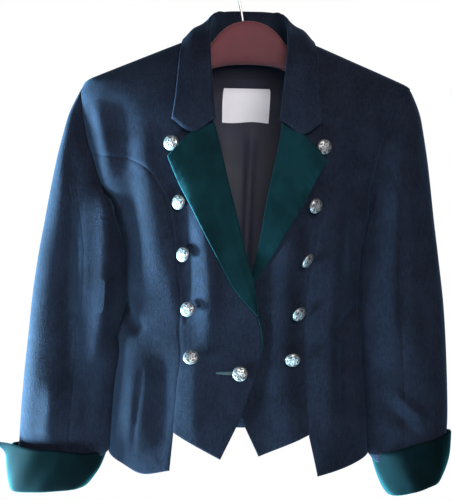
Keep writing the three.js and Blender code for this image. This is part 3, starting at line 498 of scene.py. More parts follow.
class Shader:
    """A node material on the Principled shader."""

    def __init__(self, name, **settings):
        self.material = bpy.data.materials.new(name)
        self.material.use_nodes = True
        self.tree = self.material.node_tree
        self.surface = self.tree.nodes["Principled BSDF"]
        for key, value in settings.items():
            self.surface.inputs[key.replace("_", " ")].default_value = value
        self.place = self.node("ShaderNodeTexCoord", {}, {}, "Object")

    def node(self, kind, settings, inputs, output=0):
        made = self.tree.nodes.new(kind)
        for key, value in settings.items():
            setattr(made, key, value)
        for key, value in inputs.items():
            self.feed(made.inputs[key], value)
        return Value(self, made.outputs[output])

    def feed(self, socket, value):
        if isinstance(value, Value):
            self.tree.links.new(value.socket, socket)
        else:
            socket.default_value = value

    def noise(self, scale, detail=3, roughness=0.55, stretch=None, output="Fac"):
        vector = self.place
        if stretch:
            vector = self.node("ShaderNodeMapping", {}, {"Vector": vector, "Scale": stretch})
        return self.node("ShaderNodeTexNoise", {}, {
            "Vector": vector, "Scale": scale, "Detail": detail, "Roughness": roughness}, output)

    def ramp(self, value, low, high):
        return self.node("ShaderNodeMapRange", dict(interpolation_type="SMOOTHSTEP"),
                         {"Value": value, "From Min": low, "From Max": high})

    def mix(self, factor, a, b):
        made = self.tree.nodes.new("ShaderNodeMix")
        made.data_type = "RGBA"
        for key, value in ((0, factor), (6, a), (7, b)):
            self.feed(made.inputs[key], value)
        return Value(self, made.outputs[2])

    def facing(self, blend=0.5):
        return self.node("ShaderNodeLayerWeight", {}, {"Blend": blend}, "Facing")

    def bump(self, height, strength, distance):
        bumped = self.node("ShaderNodeBump", {}, {
            "Height": height, "Strength": strength, "Distance": distance}, "Normal")
        self.set("Normal", bumped)

    def set(self, name, value):
        self.feed(self.surface.inputs[name], value)


def colour(value):
    return (*value, 1.0)


def shades(tone, *factors):
    """A colour made darker or lighter by each factor."""
    return [colour([c * factor for c in tone]) for factor in factors]


def loden_material(look):
    s = Shader("Loden", Sheen_Weight=0.12, Sheen_Roughness=0.32, Roughness=0.92,
               Sheen_Tint=colour((0.3, 0.6, 1.0)), Specular_IOR_Level=0.05)
    felt = s.noise(620, 5, 0.8)
    hairs = s.noise(260, 4, 0.7, stretch=(1.7, 1.7, 0.5))
    clouds = s.noise(22, 3, 0.6)
    s.set("Base Color", s.mix(s.ramp(felt * 0.42 + hairs * 0.33 + clouds * 0.25, 0.38, 0.63),
                              *shades(look.loden, 0.62, 1.5)))
    s.set("Roughness", 0.84 + 0.14 * clouds)
    s.bump(felt * 0.6 + hairs * 0.4, 0.9, 0.0012)
    return s.material


# Painted shade: the cuffs' velvet colour is darkened to this share of the lapels' velvet.
CUFF_PAINTED_SHADE = 0.3


def velvet_material(look, shade=1.0):
    """Velvet, or at a lower shade the same velvet painted darker as painted shade, for the cuffs whose
    nap runs the other way.
    """
    # A shade below 1 paints the colour darker: painted shade.
    base = [c * shade for c in look.velvet]
    s = Shader("Velvet", Sheen_Weight=0.16, Sheen_Roughness=0.3, Roughness=0.85,
               Sheen_Tint=colour((0.02, 0.8, 0.85)), Specular_IOR_Level=0.03)
    nap = s.noise(16, 4, 0.62)
    pressed = s.noise(70, 2, 0.5, stretch=(1.0, 1.0, 0.5))
    pile = s.noise(2200, 2, 0.6)
    tone = s.mix(s.ramp(nap * 0.7 + pressed * 0.3, 0.3, 0.72), *shades(base, 0.72, 1.35))
    # Painted sheen: the colour turns five times lighter where the velvet is seen edge on, through Layer
    # Weight's facing.
    s.set("Base Color", s.mix(s.ramp(s.facing(0.4), 0.3, 0.9), tone, *shades(base, 5)))
    s.set("Roughness", 0.75 + 0.2 * nap)
    s.bump(pile * 0.5 + pressed * 0.5, 0.3, 0.0006)
    return s.material


def cuff_velvet_material(look):
    return velvet_material(look, CUFF_PAINTED_SHADE)


def lining_material(look):
    s = Shader("Lining satin", Roughness=0.4, Sheen_Weight=0.02, Specular_IOR_Level=0.14)
    thread = s.noise(900, 2, 0.5, stretch=(3.0, 1.0, 0.25))
    clouds = s.noise(20, 3, 0.5)
    s.set("Base Color", s.mix(s.ramp(clouds * 0.7 + thread * 0.3, 0.35, 0.65),
                              *shades(look.lining, 0.75, 1.3)))
    s.set("Roughness", 0.34 + 0.2 * clouds)
    s.bump(thread, 0.2, 0.0003)
    return s.material


def label_material(look):
    s = Shader("Woven label", Roughness=0.6, Sheen_Weight=0.2)
    weft = s.node("ShaderNodeTexWave", dict(bands_direction="Z"), {
        "Vector": s.place, "Scale": 700.0, "Distortion": 0.6, "Detail": 1.0}, "Fac")
    s.set("Base Color", s.mix(s.noise(60, 2), *shades(look.label, 0.93, 1)))
    s.set("Roughness", 0.55 + 0.15 * weft)
    s.bump(weft, 0.25, 0.0003)
    return s.material


def silver_material(look):
    s = Shader("Antique silver", Metallic=0.85, Roughness=0.4)
    wear = s.noise(320, 4, 0.6)
    hollow = s.node("ShaderNodeAttribute", dict(attribute_name="hollow"), {}, "Fac")
    dull = s.ramp(hollow + 0.3 * wear, 0.45, 1.15)
    s.set("Base Color", s.mix(dull, *shades(look.silver, 1, 0.16)))
    s.set("Roughness", 0.34 + 0.25 * dull)
    s.bump(wear, 0.12, 0.0002)
    return s.material


def flock_material(look):
    s = Shader("Hanger flock", Roughness=0.8, Sheen_Weight=0.35, Sheen_Roughness=0.4,
               Sheen_Tint=colour((0.9, 0.6, 0.6)))
    grain = s.noise(1500, 3, 0.6)
    clouds = s.noise(18, 3, 0.5)
    s.set("Base Color", s.mix(s.ramp(grain * 0.5 + clouds * 0.5, 0.35, 0.65),
                              *shades(look.flock, 0.8, 1.2)))
    s.set("Roughness", 0.72 + 0.15 * grain)
    s.bump(grain, 0.3, 0.0003)
    return s.material


def wire_material(look):
    s = Shader("Hook wire", Metallic=1.0, Roughness=0.28)
    scratch = s.noise(600, 3, 0.6, stretch=(1, 1, 0.1))
    s.set("Base Color", s.mix(scratch, *shades(look.wire, 0.8, 1)))
    s.set("Roughness", 0.2 + 0.2 * scratch)
    return s.material


def thread_material(look):
    s = Shader("Buttonhole twist", Roughness=0.6, Sheen_Weight=0.4)
    twist = s.noise(1800, 2)
    s.set("Base Color", s.mix(twist, *shades(look.velvet, 1.5, 3)))
    return s.material


MAKERS = {
    "loden": loden_material, "velvet": velvet_material, "cuff velvet": cuff_velvet_material,
    "lining": lining_material, "label": label_material, "silver": silver_material,
    "flock": flock_material, "wire": wire_material, "thread": thread_material,
}
MATERIALS = {}


def material(name):
    """The material of that name, made when it is first asked for."""
    if name not in MATERIALS:
        MATERIALS[name] = MAKERS[name](bpy.context.scene.jacket_look)
    return MATERIALS[name]


# ------------------------------------------------------------------ settings
def tint(name, value):
    return bpy.props.FloatVectorProperty(name=name, description=name + " colour",
                                         subtype="COLOR", size=3, min=0, max=1, default=value)


class JacketLook(bpy.types.PropertyGroup):
    """Colours of the cloths and fittings."""
    loden: tint("Loden", (0.0092, 0.0122, 0.0215))
    velvet: tint("Velvet", (0.003, 0.0165, 0.02))
    lining: tint("Lining", (0.0125, 0.0145, 0.03))
    label: tint("Label", (0.86, 0.84, 0.87))
    silver: tint("Buttons", (0.5, 0.5, 0.5))
    flock: tint("Hanger", (0.115, 0.026, 0.032))
    wire: tint("Hook", (0.8, 0.76, 0.7))


class JacketSizes(bpy.types.PropertyGroup):
    """Thicknesses and sizes of the cloths and buttons."""
    loden: bpy.props.FloatProperty(name="Loden", description="Thickness of the loden, in mm",
                                   default=2.2, min=1, max=4)
    velvet: bpy.props.FloatProperty(name="Velvet", description="Thickness of a lapel, in mm",
                                    default=2.6, min=1, max=4)
    button: bpy.props.FloatProperty(name="Button", description="Radius of a button, in mm",
                                    default=10.2, min=6, max=14)


# ------------------------------------------------------------------ body panels
def tuck(side, x, z):
    """How far the left front lies under the right one."""
    if side != "left":
        return 0
    return -UNDERLAP * smooth((80 - x) / 52) * smooth((-352 - z) / 50)


def front_lift(side, x, z):
    return fold_height(FRONT_FOLDS[side], x, z) + tuck(side, x, z)


def panel(node, grid, side, lift, finish, thickness, materials):
    """A wall of cloth on the form, with its seams and edges."""
    turn, z = grid
    normal = form_normal(turn, z, side)
    points = form_point(turn, z, side)
    points = points + normal * lift(turn, z)[..., None]
    points = away_from_rim(points, -SEAM_OVERLAP)
    points = points + normal * edge_lift(points, finish)[..., None]
    cloth_piece(node, points, normal, side, thickness, materials)


def body_materials():
    return [material("loden"), material("lining")]


class JACKET_OT_fronts(bpy.types.Operator):
    """Make both fronts and side fronts"""
    bl_idname = "jacket.fronts"
    bl_label = "Fronts"

    def execute(self, context):
        thick = context.scene.jacket_sizes.loden
        for side in ("right", "left"):
            def lift(turn, z, side=side):
                return front_lift(side, column(FORM, side, z) * np.sin(turn), z)
            inner = [(seam(FRONT_EDGE[side], side), STEPS["front_edge"]),
                     (seam(ROLL_LINE[side], side), STEPS["roll"]),
                     (seam(FRONT_NECK, side), STEPS["neck"])]
            top = [(shoulder(), STEPS["shoulder"]),
                   (seam(ARMHOLE_UPPER[side], side), STEPS["upper"])]
            hem = seam([FRONT_EDGE[side][0], PRINCESS[side][0]], side)
            princess = (seam(PRINCESS[side], side), STEPS["princess"])
            grid = patch([(hem, STEPS["front_hem"])], top, inner, [princess],
                         dense(44, 110), dense(96, 500))
            panel(f"front_{side}", grid, side, lift,
                  dict(start="edge", bottom="edge", end="seam", top="seam"), thick,
                  body_materials())
            step = (seam([STEP_FOOT[side], PRINCESS[side][0]], side), STEPS["step_edge"])
            hem = seam(SIDE_HEM[side], side)
            hem[-1, 0] = 100 * QUARTER
            grid = patch([(hem, STEPS["side_hem"])],
                         [(seam(ARMHOLE_LOWER[side], side), STEPS["lower"])], [step, princess],
                         [(side_seam(side), STEPS["side"])], dense(40, 110), dense(90, 400))
            panel(f"side_front_{side}", grid, side, lift,
                  dict(start="seam", bottom="edge", end="seam", top="seam"), thick,
                  body_materials())
        return {"FINISHED"}


def back_grid(us, vs):
    """Turn and height over the back, from the left side seam round to the right one."""
    def half_top(side):
        return [(shoulder()[::-1], STEPS["shoulder"]), (seam(BACK_NECK, side, True), STEPS["neck"])]

    def edge(side):
        return [(side_seam(side), STEPS["side"]),
                (seam(ARMHOLE_BACK[side], side, True), STEPS["armhole_back"])]

    t = np.linspace(0, 1, 200)
    foot = SIDE_HEM["left"][-1][1] + (SIDE_HEM["right"][-1][1] - SIDE_HEM["left"][-1][1]) * t
    hem = np.stack([100 * (QUARTER + math.pi * t),
                    foot + (BACK_HEM_Z - foot) * np.sin(math.pi * t)], -1)
    top = half_top("left") + [(far_side(line[::-1]), n) for line, n in half_top("right")[::-1]]
    return patch([(hem, STEPS["back_hem"])], top, edge("left"),
                 [(far_side(line), n) for line, n in edge("right")], us, vs, lean=4)


def back_lift(turn, z):
    return fold_height(BACK_FOLDS, half_width(turn, z, "both") * np.sin(turn), z)


class JACKET_OT_back(bpy.types.Operator):
    """Make the back, its lining and the label"""
    bl_idname = "jacket.back"
    bl_label = "Back and lining"

    def execute(self, context):
        thick = context.scene.jacket_sizes.loden

        def lining_lift(turn, z):
            return back_lift(turn, z) - thick - LINING_GAP - lining_ease(turn, z)
        panel("back", back_grid(dense(90, 520), dense(90, 520)), "both", back_lift,
              dict(start="seam", end="seam", bottom="edge", top="seam"), thick,
              body_materials())
        grid = back_grid(np.linspace(2 / 14, 12 / 14, 70), np.linspace(1 / 20, 19 / 20, 90))
        panel("lining", grid, "both", lining_lift, {}, THICK["lining"], [material("lining")])
        label(thick)
        return {"FINISHED"}


def lining_ease(turn, z):
    """Soft folds of the lining over the shoulder blades and at its centre pleat."""
    x = half_width(turn, z, "both") * np.sin(turn)
    fade = smooth((-118 - z) / 60) * smooth((z + 600) / 120)
    pleat = 2.4 * np.exp(-((x - 9 - 0.03 * (z + 200)) / 5)**2)
    soft = 1.6 * np.exp(-((x + 32 + 0.05 * (z + 200)) / 11)**2)
    return fade * (pleat * smooth((-205 - z) / 30) + soft * smooth((-205 - z) / 40))


LINING_GAP = 0.6
LABEL = dict(half_width=31, height=48, foot=-204, depth=2.4)
BACK_WIDTH_AT_LABEL = 206


def label(thick):
    """The bare woven label, on the lining below the neck."""
    reach = math.asin(LABEL["half_width"] / BACK_WIDTH_AT_LABEL)
    us, vs = np.linspace(-1, 1, 44), np.linspace(0, 1, 36)
    turn = math.pi - reach * us[None, :] + 0 * vs[:, None]
    wave = 1.1 * np.sin(us * 3.3 + 0.6)[None, :] * (1 - vs[:, None])
    z = LABEL["foot"] + LABEL["height"] * vs[:, None] + wave + 0 * turn
    puff = 1.2 * (1 - us[None, :]**2) * np.sin(math.pi * vs)[:, None]**0.5
    normal = form_normal(turn, z, "both")
    points = form_point(turn, z, "both") + normal * (
        back_lift(turn, z) - thick - LABEL["depth"] - 0.6 * puff)[..., None]
    cloth_piece("label", points, -normal, "both", THICK["label"], [material("label")])


# ------------------------------------------------------------------ lapels and collar
NOTCH, PEAK = (72.8, -232.8), (101.5, -265.7)
LAPEL_EDGE = {
    "right": [(-17, -470), (14, -434), (41.8, -382), (77.5, -317), PEAK],
    "left": [(-15, -468), (27, -408), (50.3, -364), (74.4, -321), PEAK],
}
ROLL_START = {"right": (-20, -470), "left": (-18, -468)}
LAPEL_GAP = {"right": 0.5, "left": 2.1}


class JACKET_OT_lapels(bpy.types.Operator):
    """Make the velvet lapels"""
    bl_idname = "jacket.lapels"
    bl_label = "Lapels"

    def execute(self, context):
        thick = context.scene.jacket_sizes.velvet
        for side in ("right", "left"):
            roll = seam([ROLL_START[side], *ROLL_LINE[side][1:]], side)
            top = [(seam([ROLL_LINE[side][-1], NOTCH], side), 2), (seam([NOTCH, PEAK], side), 3)]
            us, vs = dense(26, 60), dense(80, 270)
            grid = patch([(seam([ROLL_START[side], LAPEL_EDGE[side][0]], side), 5)], top,
                         [(roll, 9)], [(seam(LAPEL_EDGE[side], side), 9)], us, vs)

            def lift(turn, z, side=side, u=us[None, :], v=vs[:, None]):
                x = column(FORM, side, z) * np.sin(turn)
                crown = 1.5 * smooth(u / 0.4) + 12.5 * u * smooth((v - 0.3) / 0.6)
                pressed = np.sin(118 * v + 2.2 * np.sin(23 * v) + 5 * u)
                ripple = (0.45 * np.sin(26 * v + 3 * u) * u
                          + 0.4 * pressed * smooth((u - 0.62) / 0.3)) * smooth((v - 0.1) / 0.2)
                return front_lift(side, x, z) + LAPEL_GAP[side] + thick + crown + ripple
            panel(f"lapel_{side}", grid, side, lift,
                  dict(start="edge", end="edge", top="edge", bottom="edge"), thick,
                  [material("velvet"), material("loden")])
        return {"FINISHED"}


PIPING = [(-20.5, -474), (-24.5, -490), (-26.3, -505), (-25.2, -520), (-23.4, -530)]
PIPING_RADIUS = 1.15
PIPING_POINTS = 60


def tube(name, path, radius, sides=16):
    """A closed round tube along a path, both in mm."""
    tangent = unit(np.gradient(path, axis=0))
    side = unit(np.cross(tangent, [0.0, 1.0, 0.0]))
    other = np.cross(side, tangent)
    ring = np.linspace(0, 2 * math.pi, sides + 1)[None, :, None]
    radius = np.broadcast_to(radius, len(path))[:, None, None]
    piece = grid_piece(name, path[:, None] + radius * (
        side[:, None] * np.cos(ring) + other[:, None] * np.sin(ring)))
    close_tube(piece)
    return piece


class JACKET_OT_piping(bpy.types.Operator):
    """Make the velvet piping below the right lapel"""
    bl_idname = "jacket.piping"
    bl_label = "Piping"

    def execute(self, context):
        line = along(spline(PIPING), np.linspace(0, 1, PIPING_POINTS))
        z, x = line[:, 1], line[:, 0]
        turn = turn_of(line, "right")[:, 0] / 100
        lift = front_lift("right", x, z) - 0.6
        path = form_point(turn, z, "right") + form_normal(turn, z, "right") * lift[:, None]
        taper = PIPING_RADIUS * smooth(np.linspace(1.6, 0.12, PIPING_POINTS)) + 0.1
        piece = tube("piping_tube", path * [-1, 1, 1], taper)
        piece.data.materials.append(material("velvet"))
        smooth_shade(piece, 70)
        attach(piece, "root")
        return {"FINISHED"}


COLLAR = [
    dict(leaf=(0, 73, -100), mid=(0, 71.5, -74), roll=(0, 62, -50), seam=(0, 53, -96)),
    dict(leaf=(34, 70, -100), mid=(30, 68, -74), roll=(25, 59, -50.5), seam=(25, 50, -96)),
    dict(leaf=(63, 55, -99.5), mid=(55, 53, -76), roll=(43, 46, -53.5), seam=(44, 39, -94)),
    dict(leaf=(81, 30, -96.5), mid=(70, 29, -80), roll=(52, 25, -62), seam=(57, 20, -91)),
    dict(leaf=(89, 1, -98.5), mid=(76, 0, -85), roll=(54.5, 1, -76), seam=(62.5, 0, -91)),
    dict(leaf=(92, -42, -120), mid=(78, -37, -108), roll=(54.5, -31, -97), seam=(55.5, -29, -108)),
    dict(leaf=(93.5, -61, -150), mid=(77, -60, -143), roll=(52.5, -54.5, -133), seam=(52, -50, -141)),
    dict(leaf=(96, -70.5, -185), mid=(76, -72, -186), roll=(48.5, -69, -175), seam=(47.5, -64.5, -180)),
    dict(leaf=(99.9, -76, -214.3), mid=(73.2, -81, -231.2), roll=(44.5, -80, -213.6),
         seam=(43.5, -76.5, -214)),
]
ROLL_RADIUS = 2.6
# The foot of the stand is tucked inside the neckline behind the shoulders.
STAND_TUCK = dict(down=7.5, forwards=5)


class JACKET_OT_collar(bpy.types.Operator):
    """Make the collar with its stand"""
    bl_idname = "jacket.collar"
    bl_label = "Collar"

    def execute(self, context):
        def line(name):
            left = [row[name] for row in COLLAR]
            right = [(-x, y, z) for x, y, z in left[:0:-1]]
            return along(spline(right + left, 600), np.linspace(0, 1, 150))
        leaf, mid, roll, foot = (line(n) for n in ("leaf", "mid", "roll", "seam"))
        behind = smooth(foot[:, 1] / 25)
        foot[:, 1] -= STAND_TUCK["forwards"] * behind
        foot[:, 2] -= STAND_TUCK["down"] * behind
        out = mid - roll
        out[:, 2] = 0
        out = unit(out)
        drop = np.array([0, 0, -ROLL_RADIUS])
        sections = np.stack([leaf, mid, roll + 1.3 * ROLL_RADIUS * out + drop, roll,
                             roll - 0.7 * ROLL_RADIUS * out + drop, foot], 1)
        points = np.stack([along(spline(s, 120), np.linspace(0, 1, 44)) for s in sections], 0)
        normal = grid_normals(points)
        nape = len(points) // 2
        if normal[nape, 10, 1] < 0:
            normal = -normal
        gaps = edge_gaps(points)
        rounded = sum(EDGE_ROUND * (1 - np.sqrt(1 - np.clip(1 - gaps[k] / EDGE_ROUND, 0, 1)**2))
                      for k in ("start", "bottom", "top"))
        points = points + normal * (THICK["collar"] / 2 - rounded)[..., None]
        cloth_piece("collar", points, normal, "both", THICK["collar"], [material("loden")])
        return {"FINISHED"}


# ------------------------------------------------------------------ sleeves and cuffs
SLEEVE = {
    "right": [
        dict(z=-350, inner=183, outer=272.5, front=-47, back=50),
        dict(z=-392, inner=170.5, outer=279, front=-46, back=52),
        dict(z=-455, inner=166.5, outer=287, front=-44, back=49),
        dict(z=-500, inner=177.6, outer=291, front=-41, back=46),
        dict(z=-526, inner=172.8, outer=293.5, front=-39, back=44),
        dict(z=-560, inner=177.5, outer=296.5, front=-37, back=41),
        dict(z=-606, inner=180, outer=299.7, front=-34, back=37),
        dict(z=-650, inner=182.5, outer=301.5, front=-31, back=33),
        dict(z=-705, inner=210, outer=305, front=-27, back=27),
    ],
    "left": [
        dict(z=-350, inner=174, outer=260, front=-47, back=52),
        dict(z=-392, inner=167.5, outer=266, front=-47, back=53),
        dict(z=-455, inner=165.5, outer=274, front=-47, back=51),
        dict(z=-505, inner=170.5, outer=278, front=-45, back=48),
        dict(z=-560, inner=174.5, outer=281, front=-42, back=44),
        dict(z=-606, inner=177, outer=282.5, front=-39, back=41),
        dict(z=-650, inner=182, outer=280, front=-36, back=37),
        dict(z=-684, inner=197, outer=270, front=-33, back=33),
    ],
}
SLEEVE_ROUNDNESS = 0.92
# How far a sleeve's inner side laps over the body's side seam, where the two lie together.
BODY_LAP = 22
# The shares of a sleeve's ring that the under sleeve spans, in steps of the armhole.
UNDER = (5 / 18, 14 / 18)
TUCKED_ROWS = 4


def sleeve_ring(side, angle, z):
    """A level ring of the sleeve, from its outer side forwards and round."""
    inner, outer, front, back = (column(SLEEVE[side], n, z)
                                 for n in ("inner", "outer", "front", "back"))
    forwards = np.sin(angle)
    reach = np.sign(forwards) * np.abs(forwards)**SLEEVE_ROUNDNESS
    lap = BODY_LAP * smooth(-np.cos(angle) * 3) * np.sin(2 * angle)**2 * smooth((z + 690) / 40)
    return np.stack([(inner + outer) / 2 + (outer - inner) / 2 * np.cos(angle) - lap,
                     (front + back) / 2 - (back - front) / 2 * reach, z + 0 * angle], -1)


def sleeve_points(side, shares):
    """The sleeve's outer face and its normals, a row for each level.

    A Hermite cap runs from the armhole to the first ring, and level rings go on to the hem.
    """
    lines = [(seam(ARMHOLE_UPPER[side], side), STEPS["upper"]),
             (seam(ARMHOLE_LOWER[side], side), STEPS["lower"]),
             (seam(ARMHOLE_BACK[side], side, True), STEPS["armhole_back"])]
    hole = boundary(lines, shares)
    turn, z = hole[:, 0], hole[:, 1]
    normal = form_normal(turn, np.where(z > TIP[1] - 2, z + 4, z), side)
    x = column(FORM, side, z) * np.sin(turn)
    lift = np.where(turn > QUARTER, fold_height(BACK_FOLDS, MIRROR[side] * x, z),
                    front_lift(side, x, z))
    start = form_point(turn, z, side) + normal * lift[:, None]
    angle = 2 * math.pi * shares
    top, hem = SLEEVE[side][0]["z"], SLEEVE[side][-1]["z"]
    ring = sleeve_ring(side, angle, top + 0 * angle)
    reach = np.linalg.norm(start - ring, axis=1, keepdims=True)
    sideways = np.sin(angle)**2
    out = np.stack([0.42 + 0.5 * sideways, -0.35 * np.sin(angle), -0.9 + 0.5 * sideways], -1)
    into = unit(sleeve_ring(side, angle, top - 10 + 0 * angle) - ring) * reach
    t = np.concatenate([[0, 0.012, 0.03, 0.06], np.linspace(0.1, 1, 30)])[:-1, None, None]
    cap = ((2 * t**3 - 3 * t**2 + 1) * start + (t**3 - 2 * t**2 + t) * out * reach * 0.9
           + (3 * t**2 - 2 * t**3) * ring + (t**3 - t**2) * into)
    levels = np.linspace(top, hem, 84)
    tube = np.stack([sleeve_ring(side, angle, level + 0 * angle) for level in levels])
    points = np.concatenate([cap, tube])
    around = np.roll(points[:, :-1], -1, 1) - np.roll(points[:, :-1], 1, 1)
    around = np.concatenate([around, around[:, :1]], 1)
    face = unit(np.cross(around, np.gradient(points, axis=0)))
    middle = points[:, :-1].mean(1, keepdims=True)
    row = np.arange(len(points))[:, None]
    inwards = ((face * (points - middle)).sum(-1) < 0) & (row >= TUCKED_ROWS)
    face = np.where(inwards[..., None], -face, face)
    face[:TUCKED_ROWS] = face[TUCKED_ROWS]
    near_tip = smooth(1 - np.minimum(angle, 2 * math.pi - angle) / 0.7)[None, :, None]
    fade = np.linspace(1, 0, TUCKED_ROWS)[:, None, None]
    face[:TUCKED_ROWS] = unit(face[:TUCKED_ROWS] * (1 - near_tip * fade)
                              + normal[None] * near_tip * fade)
    folds = fold_height(SLEEVE_FOLDS[side], points[..., 0], points[..., 2])
    folds = folds * smooth(-face[..., 1] * 1.6)
    hidden = 5 * np.sin(points[..., 2] / 47 + 2.2 * np.cos(angle)) * smooth(face[..., 1]) * 0.6
    ease = smooth((row - 3) / 12)
    roll = 1.6 * np.exp(-((row - 7) / 4.0)**2) * smooth(np.cos(angle) + 0.4)
    points = points + face * ((folds + hidden) * ease + roll)[..., None]
    points[0] -= 2.5 * unit(points[1] - points[0]) + 0.8 * face[0]
    return points, face


def sleeve_piece(node, points, face, side, thick):
    """One of a sleeve's two pieces, sewn at both sides and at the armhole."""
    points = away_from_rim(points, -SEAM_OVERLAP)
    finish = dict(start="seam", end="seam", bottom="seam")
    points = points + face * edge_lift(points, finish)[..., None]
    cloth_piece(node, points, face, side, thick, body_materials())


class JACKET_OT_sleeves(bpy.types.Operator):
    """Make the two-piece sleeves"""
    bl_idname = "jacket.sleeves"
    bl_label = "Sleeves"

    def execute(self, context):
        thick = context.scene.jacket_sizes.loden
        for side in ("right", "left"):
            near = np.array([0.003, 0.008, 0.015])
            first = np.concatenate([np.linspace(0, UNDER[0], 40)[:-1], UNDER[0] - near[::-1]])
            under = np.concatenate([[UNDER[0]], UNDER[0] + near, np.linspace(*UNDER, 46)[1:-1],
                                    UNDER[1] - near[::-1], [UNDER[1]]])
            last = np.concatenate([UNDER[1] + near, np.linspace(UNDER[1], 1, 34)[1:]])
            shares = np.unique(np.concatenate([first, under, last]))
            points, face = sleeve_points(side, shares)
            points[:, -1], face[:, -1] = points[:, 0], face[:, 0]
            a, b = (int(np.argmin(np.abs(shares - s))) for s in UNDER)
            sleeve_piece(f"under_sleeve_{side}", points[:, a:b + 1], face[:, a:b + 1], side, thick)
            picks = [*range(b, len(shares)), *range(1, a + 1)]
            sleeve_piece(f"top_sleeve_{side}", points[:, picks], face[:, picks], side, thick)
        return {"FINISHED"}


CUFF = {
    "right": [
        dict(z=-658, inner=181.5, outer=311, front=-44, back=45, rise=4),
        dict(z=-684, inner=190, outer=315, front=-42, back=42, rise=1),
        dict(z=-704, inner=203, outer=314, front=-38, back=37, rise=-1),
        dict(z=-714, inner=212, outer=311, front=-33, back=31, rise=-3),
        dict(z=-713.5, inner=217, outer=305, front=-28, back=25, rise=-3),
    ],
    "left": [
        dict(z=-640, inner=178.5, outer=285, front=-48, back=48, rise=17),
        dict(z=-668, inner=185, outer=284, front=-46, back=46, rise=12),
        dict(z=-690, inner=195, outer=279, front=-42, back=41, rise=11),
        dict(z=-702, inner=204, outer=272, front=-38, back=36, rise=10),
        dict(z=-701, inner=208, outer=265, front=-32, back=30, rise=10),
    ],
}
# Half the slit's width as an angle, and how far the cuff's free corner stands off, in mm.
CUFF_SLIT = 0.03
CUFF_CORNER = {"right": 36, "left": 0}


class JACKET_OT_cuffs(bpy.types.Operator):
    """Make the turned-back velvet cuffs"""
    bl_idname = "jacket.cuffs"
    bl_label = "Cuffs"

    def execute(self, context):
        names = ("z", "inner", "outer", "front", "back", "rise")
        for side in ("right", "left"):
            rows = np.array([[row[n] for n in names] for row in CUFF[side]], float)
            level = along(spline(rows, 200), np.linspace(0, 1, 44))
            z, inner, outer, front, back, rise = (level[:, k:k + 1] for k in range(6))
            angle = np.linspace(CUFF_SLIT, 2 * math.pi - CUFF_SLIT, 120)[None, :]
            depth = np.linspace(0, 1, 44)[:, None]
            corner = CUFF_CORNER[side] * np.exp(-(angle - CUFF_SLIT) / 0.16) * np.exp(-depth / 0.1)
            wave = 1.4 * np.sin(3 * angle + 0.8) * (1 - depth) + 0.8 * np.sin(7 * angle + 4 * depth)
            points = np.stack([
                (inner + outer) / 2 + ((outer - inner) / 2 + wave) * np.cos(angle) + corner,
                (front + back) / 2 - ((back - front) / 2 + wave) * np.sin(angle),
                z + rise * np.cos(angle) + 0.9 * np.sin(5 * angle) * (1 - depth)], -1)
            middle = points.mean(1, keepdims=True)
            normal = grid_normals(points)
            if (normal * (points - middle)).sum() < 0:
                normal = -normal
            lift = edge_lift(points, dict(start="edge", end="edge", bottom="edge"))
            points = points + normal * (THICK["cuff"] / 2 + lift)[..., None]
            cloth_piece(f"cuff_{side}", points, normal, side, THICK["cuff"],
                        [material("cuff velvet")])
        return {"FINISHED"}


# ------------------------------------------------------------------ buttons and buttonhole
# Each button's x and z, and the degrees that it is turned sideways and tipped up.
BUTTONS = {
    "right": [(98.4, -247, -20, 4), (88, -323.5, -34, 8), (80.5, -392, -38, 10),
              (72, -463, -24, 18), (66, -526.5, -6, 30)],
    "left": [(99.5, -248, 20, -8), (90.5, -325, 36, -14), (81, -396, 62, -30),
             (72.3, -466.5, 40, -26), (65, -527.5, 6, -32)],
}
CLOSING = (2.5, -547.5, 0, 0)
HEAD_HEIGHT = 3.6
HEAD_CLEARANCE = 1.1
TILT_REACH = 10.3 * 0.8
SPIN_STEP = 23
DOME_HEIGHT = 4.4
RELIEF_HEIGHT = 0.45
FRONT_SHARE = 0.6
# The back of a head: share of the way from rim to shank, share of the radius, and height.
BACK_PROFILE = [(0, 1, 0), (0.08, 0.985, -0.6), (0.2, 0.9, -1.0), (0.3, 0.32, -1.2),
                (0.55, 0.27, -2.4), (0.75, 0.24, -HEAD_HEIGHT), (1, 0, -HEAD_HEIGHT)]


def button_relief(r, angle):
    """Height of the embossing at a share r of the button's radius."""
    petals = np.exp(-((r - 0.3 - 0.16 * np.cos(6 * angle)) / 0.09)**2)
    veins = (0.45 * np.abs(np.cos(6 * angle))**14 * smooth((0.5 - r) / 0.2)
             * smooth((r - 0.12) / 0.1))
    eye = 0.9 * np.exp(-(r / 0.11)**2)
    leaves = (0.55 * np.abs(np.cos(3 * angle + 9 * r)) * smooth((r - 0.5) / 0.08)
              * smooth((0.76 - r) / 0.08))
    rope = (0.55 + 0.45 * np.cos(34 * angle + 18 * r)) * np.exp(-((r - 0.88) / 0.06)**2)
    return petals * 0.8 + veins + eye + leaves + rope


